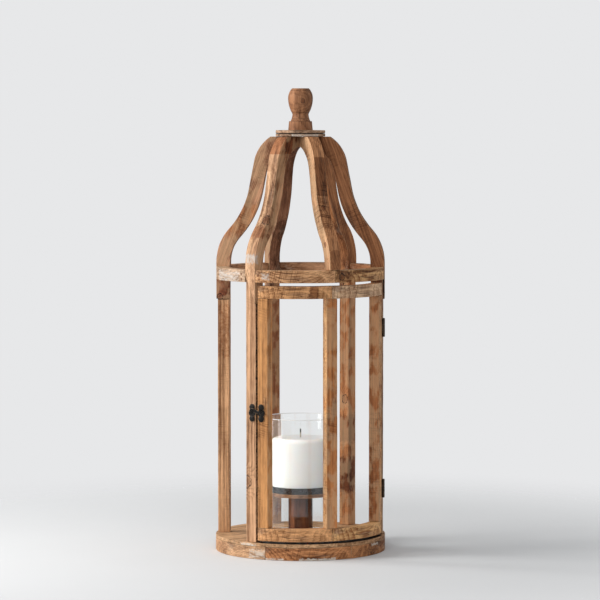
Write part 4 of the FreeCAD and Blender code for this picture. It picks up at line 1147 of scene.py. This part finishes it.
@dataclass
class ShoulderRing(SubAssembly):
    """The ring of sawn segments between the ribs."""

    centre_radius: float = 0.1355
    middle_height: float = 0.482

    def pieces(self) -> list[WoodenPiece]:
        """The six segments."""
        # The rust round each nail is a small round knot without a swirl of its own.
        nail = dict(radius=0.0020, core=0.9, ring=1.0, flat=1.0)
        woods = {
            "ring_left": (
                -90,
                Timber(
                    (0.50, 0.345, 0.232),
                    0.9,
                    pith=(0.02, 0.05),
                    bleached=0.7,
                    knots=(
                        Knot((-0.1351, -0.0552, 0.4849), **nail), Knot((-0.1347, -0.0563, 0.4764), **nail),
                    ),
                    patches=(
                        Patch(
                            Area((-0.150, -0.050, 0.470), (-0.130, 0.020, 0.489), 0.004),
                            WHITEWASH,
                            0.75,
                            0.35,
                        ),
                    ),
                ),
            ),
            "ring_front_left": (
                -30,
                Timber(
                    (0.62, 0.330, 0.165),
                    1.0,
                    pith=(0.03, 0.04),
                    sawn=0.8,
                    blotches=0.6,
                    knots=(
                        Knot((-0.1176, -0.0866, 0.4832), **nail), Knot((-0.1162, -0.0884, 0.4772), **nail),
                    ),
                    patches=(
                        Patch(
                            Area((-0.113, -0.108, 0.4765), (-0.103, -0.090, 0.487), 0.002),
                            WHITEWASH,
                            0.8,
                            0.3,
                        ),
                    ),
                ),
            ),
            "ring_front_right": (
                30,
                Timber(
                    (0.66, 0.345, 0.155),
                    1.0,
                    pith=(0.01, 0.03),
                    sawn=0.6,
                    blotches=0.6,
                    grime=0.6,
                    knots=(
                        Knot((0.0259, -0.1437, 0.4857), **nail),
                        Knot((0.0239, -0.1440, 0.4799), **nail),
                        Knot((0.0120, -0.1455, 0.4811), 0.005, core=0.8),
                    ),
                    tints=(
                        Tint(Area((0.0, -0.150, 0.470), (0.034, -0.13, 0.4935), 0.004), (0.50, 0.42, 0.38)),
                        Tint(
                            Area((0.034, -0.150, 0.486), (0.12, -0.06, 0.4935), 0.002), (0.50, 0.42, 0.36),
                        ),
                    ),
                ),
            ),
            "ring_right": (88.6, PLAIN_BROWN),
            "ring_back_right": (
                147.6, Timber((0.36, 0.195, 0.105), 1.2, blotches=1.1, bleached=0.4, grime=0.9),
            ),
            "ring_back_left": (
                -151, Timber((0.34, 0.185, 0.10), 1.2, blotches=1.1, bleached=0.4, grime=0.9),
            ),
        }
        return [
            WoodenPiece(node, Lie(heading, self.centre_radius, self.middle_height, Grain.LEVEL), timber)
            for node, (heading, timber) in woods.items()
        ]


@dataclass
class OgeeRibs(SubAssembly):
    """The six ribs that rise in an ogee from the ring to the cap."""

    middle_radius: float = 0.085
    middle_height: float = 0.595

    def pieces(self) -> list[WoodenPiece]:
        """The ribs by the side that they stand at."""
        woods = {
            "rib_back_left": (
                -120,
                Timber(
                    (0.43, 0.235, 0.137),
                    pith=(0.02, 0.07),
                    sawn=0.8,
                    blotches=0.9,
                    tints=(
                        Tint(
                            Area((-0.150, 0.035, 0.430), (-0.095, 0.085, 0.4685), 0.003),
                            (0.50, 0.30, 0.24),
                        ),
                        Tint(Area((-0.150, 0.02, 0.545), (-0.06, 0.085, 0.600), 0.010), (0.95, 0.78, 0.60)),
                    ),
                    knots=(Knot((-0.1265, 0.0600, 0.4385), 0.005),),
                    cracks=(RIB_SCARF,),
                ),
            ),
            "rib_latch": (
                -60,
                Timber(
                    (0.44, 0.250, 0.140),
                    1.05,
                    pith=(0.05, -0.01),
                    blotches=1.0,
                    cracks=(RIB_SCARF,),
                    knots=(
                        Knot((-0.0913, -0.0609, 0.5761), 0.0070, core=0.75),
                        Knot((-0.0960, -0.0560, 0.6050), 0.0050, core=0.5, ring=0.4),
                    ),
                    tints=(
                        # Painted shade: the rib's top near the axis is darkened, where the slit between the
                        # rib tips lies in shadow.
                        Tint(Area((-0.085, -0.065, 0.687), (0.0, 0.0, 0.730), 0.0005), (0.72, 0.52, 0.40)),
                        Tint(Area((-0.045, -0.045, 0.660), (0.0, 0.0, 0.730), 0.006), (0.55, 0.48, 0.44)),
                        Tint(
                            Area((-0.0125, -0.035, -0.20), (0.0, 0.08, 0.06), 0.0005, own=True),
                            (1.22, 1.30, 1.34),
                        ),
                        Tint(
                            Area((-0.14, -0.09, 0.545), (-0.09, -0.045, 0.566), 0.003), (0.62, 0.48, 0.40),
                        ),
                    ),
                    patches=(
                        Patch(
                            Area((-0.135, -0.090, 0.503), (-0.112, -0.060, 0.519), 0.003),
                            WHITEWASH,
                            0.8,
                            0.3,
                        ),
                    ),
                ),
            ),
            "rib_front": (
                0,
                Timber(
                    (0.40, 0.185, 0.082),
                    1.0,
                    pith=(-0.04, 0.03),
                    sawn=1.0,
                    blotches=0.7,
                    knots=(
                        Knot((-0.0009, -0.0990, 0.5972), 0.0035, core=0.9),
                        Knot((-0.0104, -0.1260, 0.5347), 0.0035, core=0.8),
                    ),
                    tints=(
                        Tint(
                            Area((-0.0094, -0.105, 0.617), (0.012, -0.03, 0.683), 0.0012),
                            (0.50, 0.42, 0.36),
                        ),
                        Tint(
                            Area((-0.0094, -0.16, 0.490), (0.012, -0.11, 0.527), 0.0020),
                            (0.62, 0.56, 0.52),
                        ),
                        # Painted highlight: the rib's left side face, towards the key lamp, is made paler.
                        Tint(Area((-0.02, -0.16, 0.49), (-0.0097, 0.02, 0.73), 0.0002), (1.40, 1.75, 2.15)),
                    ),
                ),
            ),
            "rib_hinge": (
                60, Timber((0.29, 0.125, 0.054), pith=(0.06, 0.03), sawn=0.5, cracks=(RIB_SCARF,)),
            ),
            "rib_back_right": (117.3, Timber((0.33, 0.140, 0.056), 1.1, blotches=0.9)),
            "rib_back": (178, Timber((0.22, 0.105, 0.058), 1.1, blotches=0.9, sawn=0.7)),
        }
        return [
            WoodenPiece(
                node,
                Lie(heading, self.middle_radius, self.middle_height, Grain.LEANING),
                timber,
                step=0.008,
            )
            for node, (heading, timber) in woods.items()
        ]


@dataclass
class Crown(SubAssembly):
    """The two cap discs and the turned finial."""

    disc_height: float = 0.722
    finial_height: float = 0.765
    turned_lines: tuple[float, ...] = (0.7433, 0.7475, 0.7582, 0.7965)
    half_line: float = 0.0004
    turned_line_shade_colour: Colour = (0.05, 0.02, 0.01)

    def pieces(self) -> list[WoodenPiece]:
        """The two discs; the finial is turned, so it is made apart."""
        # Painted shade: a near-black band at the joint between the two discs.
        shade_between_discs = Patch(Area((-0.05, -0.05, 0.7213), (0.05, 0.05, 0.7235), 0.0003), PAINTED_SHADE, 0.95)
        filler = Patch(Area((-0.034, -0.05, 0.7160), (0.016, -0.03, 0.7212), 0.0010), FILLER, 0.9, 0.35)
        lower = Timber(
            (0.35, 0.23, 0.155),
            1.0,
            pith=(0.2, 0.02),
            bleached=0.4,
            blotches=1.0,
            patches=(filler, shade_between_discs),
        )
        upper = Timber(
            (0.39, 0.245, 0.155), 1.0, pith=(0.2, 0.05), bleached=0.35, blotches=1.0, patches=(shade_between_discs,),
        )
        return [
            WoodenPiece(
                "cap_disc_lower", Lie(15, 0.0, self.disc_height, Grain.LEVEL), lower, easing=0.0006,
            ),
            WoodenPiece(
                "cap_disc_upper", Lie(60, 0.0, self.disc_height, Grain.LEVEL), upper, easing=0.0006,
            ),
        ]

    def make(self) -> None:
        """Build the discs and the finial."""
        super().make()
        # Painted shade: dark lines laid in the finial's turned lines, where shade falls.
        turned_line_shades = tuple(
            Patch(
                Area((-0.03, -0.03, level - self.half_line), (0.03, 0.03, level + self.half_line), 0.0002),
                self.turned_line_shade_colour,
                0.85,
            )
            for level in self.turned_lines
        )
        wood = Timber(
            (0.34, 0.155, 0.072),
            0.7,
            pith=(0.004, 0.003),
            gap=0.0022,
            gloss=0.55,
            blotches=0.8,
            sawn=0.0,
            knots=(Knot((-0.0045, -0.0207, 0.7780), 0.0030, core=0.7),),
            patches=turned_line_shades,
        )
        finial = Bench.copy_of("finial")
        Bench.ease_edges(finial, 0.0005, shortest=0.0006)
        Bench.smooth(finial, 32.0)
        Bench.hand_in(
            finial, wood.material("wood_finial", Lie(0, 0.0, self.finial_height)), self.body, "finial",
        )


@dataclass
class CurvedDoor(SubAssembly):
    """The curved door: three stiles between halved top and bottom rails."""

    body: Body = Body.DOOR
    centre_radius: float = 0.133
    stile_turn: float = 50.74
    middle: float = -2.0
    middle_height: float = 0.249
    top_height: float = 0.455
    bottom_height: float = 0.042
    left_rail_turn: float = -26.0
    right_rail_turn: float = 28.0

    def pieces(self) -> list[WoodenPiece]:
        """The stiles and the rails."""
        left, right = self.middle + self.left_rail_turn, self.middle + self.right_rail_turn
        # Painted shade: the latch stile's side that faces the post is laid near-black, as the narrow gap is
        # in deep shadow.
        shade_in_post_gap = Patch(Area((-0.02, -0.0086, -0.3), (-0.0064, 0.02, 0.3), 0.0003, own=True), PAINTED_SHADE)
        # Painted highlight: the hinge stile's outer face is made paler.
        painted_highlight_face = Tint(
            Area((-0.012, -0.015, -0.3), (0.012, -0.0098, 0.3), 0.0002, own=True), (2.4, 3.5, 4.4),
        )
        # Painted highlight: the middle stile's side that faces the key lamp is made paler.
        painted_light_side = Tint(
            Area((-0.012, -0.02, -0.3), (-0.0094, 0.02, 0.3), 0.0002, own=True), (1.62, 2.45, 3.2),
        )
        darker = Area((-0.044, -0.16, 0.440), (-0.028, -0.12, 0.470), 0.002)
        woods = {
            "door_stile_latch": (
                -self.stile_turn,
                Grain.UPRIGHT,
                self.middle_height,
                Timber(
                    (0.53, 0.255, 0.095),
                    0.75,
                    pith=(0.05, 0.02),
                    sawn=0.6,
                    rings=0.3,
                    patches=(shade_in_post_gap,),
                ),
            ),
            "door_stile_middle": (
                self.middle,
                Grain.UPRIGHT,
                self.middle_height,
                Timber((0.45, 0.175, 0.058), 0.9, pith=(-0.07, 0.01), sawn=0.5, tints=(painted_light_side,)),
            ),
            "door_stile_hinge": (
                self.stile_turn,
                Grain.UPRIGHT,
                self.middle_height,
                Timber(
                    (0.315, 0.118, 0.042),
                    0.8,
                    pith=(0.03, 0.05),
                    blotches=0.2,
                    bleached=0.0,
                    sawn=0.5,
                    tints=(painted_highlight_face,),
                ),
            ),
            "door_top_rail_left": (
                left,
                Grain.LEVEL,
                self.top_height,
                Timber(
                    (0.60, 0.315, 0.140),
                    0.9,
                    pith=(0.02, 0.25),
                    sawn=0.6,
                    tints=(Tint(darker, (0.50, 0.40, 0.34)),),
                ),
            ),
            "door_top_rail_right": (
                right,
                Grain.LEVEL,
                self.top_height,
                Timber((0.70, 0.43, 0.265), 0.8, pith=(0.01, 0.30), bleached=0.45, sawn=0.6),
            ),
            "door_bottom_rail_left": (
                left,
                Grain.LEVEL,
                self.bottom_height,
                Timber((0.64, 0.335, 0.150), 0.75, pith=(0.02, 0.28)),
            ),
            "door_bottom_rail_right": (
                right,
                Grain.LEVEL,
                self.bottom_height,
                Timber((0.70, 0.345, 0.150), 1.0, pith=(0.03, 0.25), bleached=0.3, grime=0.6, blotches=0.6),
            ),
        }
        return [
            WoodenPiece(node, Lie(heading, self.centre_radius, height, grain), timber)
            for node, (heading, grain, height, timber) in woods.items()
        ]


@dataclass
class Ironwork:
    """The latch in black iron with its domed studs, the dark hinges, and the plated screws."""

    iron: Iron = Iron()
    # The hook's edges are made brighter still: real wear and a painted highlight.
    hook_iron_highlit: Iron = Iron(bronze_and_highlight=(0.75, 0.58, 0.42), rubbed_and_highlit=1.0)
    aged: Zinc = Zinc(bright=(0.085, 0.066, 0.052), dull=(0.030, 0.022, 0.017))
    zinc: Zinc = Zinc()
    lobe_level: float = 0.2495
    lobe_spread: float = 0.0097
    dome_radius: float = 0.0052
    dome_height: float = 0.0014
    upper_share: float = 0.55
    latch_heading: float = -50.74
    latch_face: float = 0.1441
    latch_side: float = -0.00235
    catch_heading: float = -60.0
    catch_face: float = 0.1445
    catch_side: float = 0.0030

    def make(self) -> None:
        """Ease the latch's edges, and smooth and dress every small metal piece."""
        latch = {
            "latch_plate": Body.DOOR,
            "latch_rivet": Body.DOOR,
            "latch_pins": Body.DOOR,
            "latch_hook": Body.HOOK,
            "catch_plate": Body.FRAME,
            "catch_pins": Body.FRAME,
        }
        black = self.iron.material("latch_iron")
        rubbed_and_highlit = self.hook_iron_highlit.material("hook_iron_highlit")
        for node, body in latch.items():
            piece = Bench.copy_of(node)
            Bench.ease_edges(piece, 0.00028, shortest=0.0004)
            Bench.smooth(piece, 40.0)
            Bench.hand_in(piece, rubbed_and_highlit if body is Body.HOOK else black, body, node)
        self._studs(black)
        plated = self.zinc.material("zinc_plate")
        dark = self.aged.material("aged_steel")
        hardware = {
            "hinge_upper_post_leaf": Body.FRAME,
            "hinge_lower_post_leaf": Body.FRAME,
            "hinge_upper_door_leaf": Body.DOOR,
            "hinge_lower_door_leaf": Body.DOOR,
            "hinge_upper_pin": Body.FRAME,
            "hinge_lower_pin": Body.FRAME,
            "hinge_post_screws": Body.FRAME,
            "hinge_door_screws": Body.DOOR,
            "door_nails": Body.DOOR,
            "rib_screws": Body.FRAME,
            "post_screws": Body.FRAME,
            "finial_screw": Body.FRAME,
            "pedestal_screw": Body.FRAME,
            "dish_screw": Body.FRAME,
        }
        for node, body in hardware.items():
            piece = Bench.copy_of(node)
            Bench.smooth(piece, 30.0, weighted=False)
            Bench.hand_in(piece, dark if node.startswith("hinge") else plated, body, node)

    def _studs(self, black: bpy.types.Material) -> None:
        """Domed studs over the lobes of both latch plates."""
        first = self._dome()
        plates = (
            ("latch", Body.DOOR, self.latch_heading, self.latch_face, self.latch_side),
            ("catch", Body.FRAME, self.catch_heading, self.catch_face, self.catch_side),
        )
        for name, body, heading, face, side in plates:
            for place, sign in (("low", -1.0), ("high", 1.0)):
                stud = bpy.data.objects.new(f"{name}_stud_{place}", first.data.copy())
                bpy.context.scene.collection.objects.link(stud)
                height = self.dome_height if place == "low" else self.dome_height * self.upper_share
                turn = math.radians(heading)
                out = Vector((math.sin(turn), -math.cos(turn), 0.0))
                along = Vector((math.cos(turn), math.sin(turn), 0.0))
                level = self.lobe_level + sign * self.lobe_spread
                middle = out * face + along * side + Vector((0.0, 0.0, level))
                for corner in stud.data.vertices:
                    across, up, rise = corner.co
                    corner.co = middle + along * across + Vector((0.0, 0.0, up)) + out * (rise * height)
                Bench.smooth(stud, 60.0, weighted=False)
                stud.data.materials.append(black)
                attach(stud, body.value)
                log.info("%s on %s", stud.name, body.value)
        bpy.data.objects.remove(first)

    def _dome(self) -> bpy.types.Object:
        """A shallow dome of height 1 on a flat disc, raised by insets from a circle."""
        bpy.ops.object.select_all(action="DESELECT")
        bpy.ops.mesh.primitive_circle_add(vertices=28, radius=self.dome_radius, fill_type="NGON")
        dome = bpy.context.object
        bpy.ops.object.mode_set(mode="EDIT")
        bpy.ops.mesh.select_mode(type="FACE")
        bpy.ops.mesh.select_all(action="SELECT")
        rims = (1.0, 0.97, 0.88, 0.74, 0.56, 0.34, 0.14)
        for outer, inner in zip(rims, rims[1:]):
            bpy.ops.mesh.inset(thickness=(outer - inner) * self.dome_radius)
            rise = math.sqrt(1.0 - inner ** 2) - math.sqrt(1.0 - outer ** 2)
            bpy.ops.transform.translate(value=(0.0, 0.0, rise))
        bpy.ops.object.mode_set(mode="OBJECT")
        return dome


@dataclass
class CandleStand:
    """What stands in the glass: the turned pedestal, its flange and the black dish."""

    stained: Timber = Timber(
        (0.092, 0.028, 0.009), 1.2, pith=(0.006, 0.004), bleached=0.12, blotches=1.1, sawn=0.0, gloss=0.5,
    )
    flange: Timber = Timber((0.205, 0.107, 0.056), 1.1, pith=(0.1, 0.01), bleached=0.4, blotches=1.0)

    def make(self) -> None:
        """Build and dress the pedestal, the flange and the dish."""
        for node, timber, height in (
            ("pedestal_post", self.stained, 0.06), ("pedestal_flange", self.flange, 0.095),
        ):
            piece = Bench.copy_of(node)
            Bench.ease_edges(piece, 0.0005, shortest=0.0015)
            Bench.smooth(piece, 38.0)
            grain = Grain.UPRIGHT if node == "pedestal_post" else Grain.LEVEL
            Bench.hand_in(
                piece, timber.material(f"wood_{node}", Lie(0, 0.0, height, grain)), Body.FRAME, node,
            )
        dish = Bench.copy_of("candle_dish")
        Bench.smooth(dish, 35.0, weighted=False)
        Bench.hand_in(dish, DishMetal().material("dish_black"), Body.FRAME, "candle_dish")


@dataclass
class GlassAndCandle:
    """The glass sleeve, the pillar candle and its wick."""

    glass: ClearGlass = ClearGlass()
    wax: Wax = Wax()
    wick: BraidedWick = BraidedWick()

    def make(self) -> None:
        """Smooth and dress the three pieces."""
        for node, body, material in (
            ("glass_sleeve", Body.GLASS, self.glass.material("clear_glass")),
            ("candle", Body.CANDLE, self.wax.material("white_wax")),
            ("wick", Body.CANDLE, self.wick.material("cotton_wick")),
        ):
            piece = Bench.copy_of(node)
            Bench.smooth(piece, 35.0, weighted=False)
            Bench.hand_in(piece, material, body, node)


@dataclass
class Studio:
    """The pale floor, the soft lamps, the pale surroundings and the camera."""

    camera_distance: float = 5.190
    camera_height: float = 0.773
    camera_heading: float = -24.0
    camera_pitch: float = -3.74
    camera_yaw: float = math.degrees(0.5 / 3000.0)
    lens: float = 180.0
    floor_radius: float = 4.0
    floor_fade: tuple[float, float] = (0.35, 1.15)
    floor_low: Colour = (0.755, 0.765, 0.775)
    floor_high: Colour = (0.795, 0.805, 0.815)
    wall_colour: Colour = (0.80, 0.805, 0.815)
    room_light: float = 0.38
    lamp_aim: Point = (0.0, 0.0, 0.4)

    def make(self) -> None:
        """Set up the whole studio."""
        bpy.context.scene.view_settings.view_transform = "Standard"
        self._camera()
        self._world()
        self._floor()
        self._lamp("key", around(-112, 2.6, 1.9), (1.9, 1.9), 70.0, (1.0, 0.985, 0.96))
        self._lamp("front", around(-30, 3.4, 1.6), (2.2, 2.2), 27.0, (1.0, 0.99, 0.975))
        self._lamp("fill", around(70, 3.2, 1.2), (2.2, 2.2), 11.0, (0.97, 0.985, 1.0))
        self._lamp("window", around(-91, 1.15, 0.62), (0.30, 1.2), 3.5, (1.0, 0.99, 0.98))
        self._lamp("window_side", around(-124, 1.15, 0.62), (0.14, 1.2), 1.8, (1.0, 0.99, 0.98))

    def _camera(self) -> None:
        """Place the camera at the photograph's viewing angle."""
        data = bpy.data.cameras.new("camera")
        data.lens = self.lens
        data.sensor_width = 36.0
        camera = bpy.data.objects.new("camera", data)
        bpy.context.scene.collection.objects.link(camera)
        camera.location = around(self.camera_heading, self.camera_distance, self.camera_height)
        camera.rotation_euler = (
            math.radians(90.0 + self.camera_pitch),
            0.0,
            math.radians(self.camera_heading + self.camera_yaw),
        )
        bpy.context.scene.camera = camera

    def _world(self) -> None:
        """A pale room: it lights softly, and the camera and the glass see it near white."""
        world = bpy.data.worlds.new("pale_room")
        world.use_nodes = True
        bpy.context.scene.world = world
        tree = world.node_tree
        tree.nodes.clear()
        output = tree.nodes.new("ShaderNodeOutputWorld")
        light = tree.nodes.new("ShaderNodeBackground")
        light.inputs["Color"].default_value = (0.96, 0.98, 1.0, 1.0)
        light.inputs["Strength"].default_value = self.room_light
        wall = tree.nodes.new("ShaderNodeBackground")
        wall.inputs["Color"].default_value = (*self.wall_colour, 1.0)
        path = tree.nodes.new("ShaderNodeLightPath")
        either = tree.nodes.new("ShaderNodeMath")
        either.operation = "MAXIMUM"
        tree.links.new(path.outputs["Is Camera Ray"], either.inputs[0])
        tree.links.new(path.outputs["Is Transmission Ray"], either.inputs[1])
        mix = tree.nodes.new("ShaderNodeMixShader")
        tree.links.new(either.outputs[0], mix.inputs[0])
        tree.links.new(light.outputs[0], mix.inputs[1])
        tree.links.new(wall.outputs[0], mix.inputs[2])
        tree.links.new(mix.outputs[0], output.inputs["Surface"])

    def _floor(self) -> None:
        """A plain pale floor that fades into the room."""
        bpy.ops.object.select_all(action="DESELECT")
        bpy.ops.mesh.primitive_circle_add(
            vertices=96, radius=self.floor_radius, fill_type="NGON", location=(0.0, 0.0, 0.0),
        )
        floor = bpy.context.object
        floor.name = "floor"
        g = Graph("pale_floor")
        place = g.place()
        away = g.vector("LENGTH", place)
        cloud = g.noise(place, (3.0, 3.0, 3.0), 3.0)
        g.feed(g.shader.inputs["Base Color"], g.blend(cloud, self.floor_low, self.floor_high))
        g.shader.inputs["Roughness"].default_value = 0.7
        g.shader.inputs["Specular IOR Level"].default_value = 0.2
        clear = g.nodes.new("ShaderNodeBsdfTransparent")
        fade = g.nodes.new("ShaderNodeMixShader")
        g.feed(fade.inputs[0], g.step(away, *self.floor_fade))
        g.links.new(g.shader.outputs["BSDF"], fade.inputs[1])
        g.links.new(clear.outputs[0], fade.inputs[2])
        g.links.new(fade.outputs[0], g.output.inputs["Surface"])
        floor.data.materials.append(g.material)

    def _lamp(
        self, name: str, place: Point, size: tuple[float, float], power: float, colour: Colour,
    ) -> None:
        """One soft lamp that faces the lantern.

        Args:
            name: the lamp's name.
            place: where it hangs, in metres.
            size: its width and height, in metres.
            power: its power, in watts.
            colour: its colour.
        """
        data = bpy.data.lights.new(name, "AREA")
        data.shape = "RECTANGLE"
        data.size, data.size_y = size
        data.energy = power
        data.color = colour
        lamp = bpy.data.objects.new(name, data)
        bpy.context.scene.collection.objects.link(lamp)
        lamp.location = place
        lamp.rotation_euler = (Vector(self.lamp_aim) - Vector(place)).to_track_quat("-Z", "Y").to_euler()


def main() -> None:
    """Build the lantern's sub-assemblies in order, then the studio."""
    for group in (
        RoundBase(),
        Posts(),
        ShoulderRing(),
        OgeeRibs(),
        Crown(),
        CurvedDoor(),
        Ironwork(),
        CandleStand(),
        GlassAndCandle(),
    ):
        log.info("making %s", type(group).__name__)
        group.make()
    Studio().make()


if __name__ == "__main__":
    main()
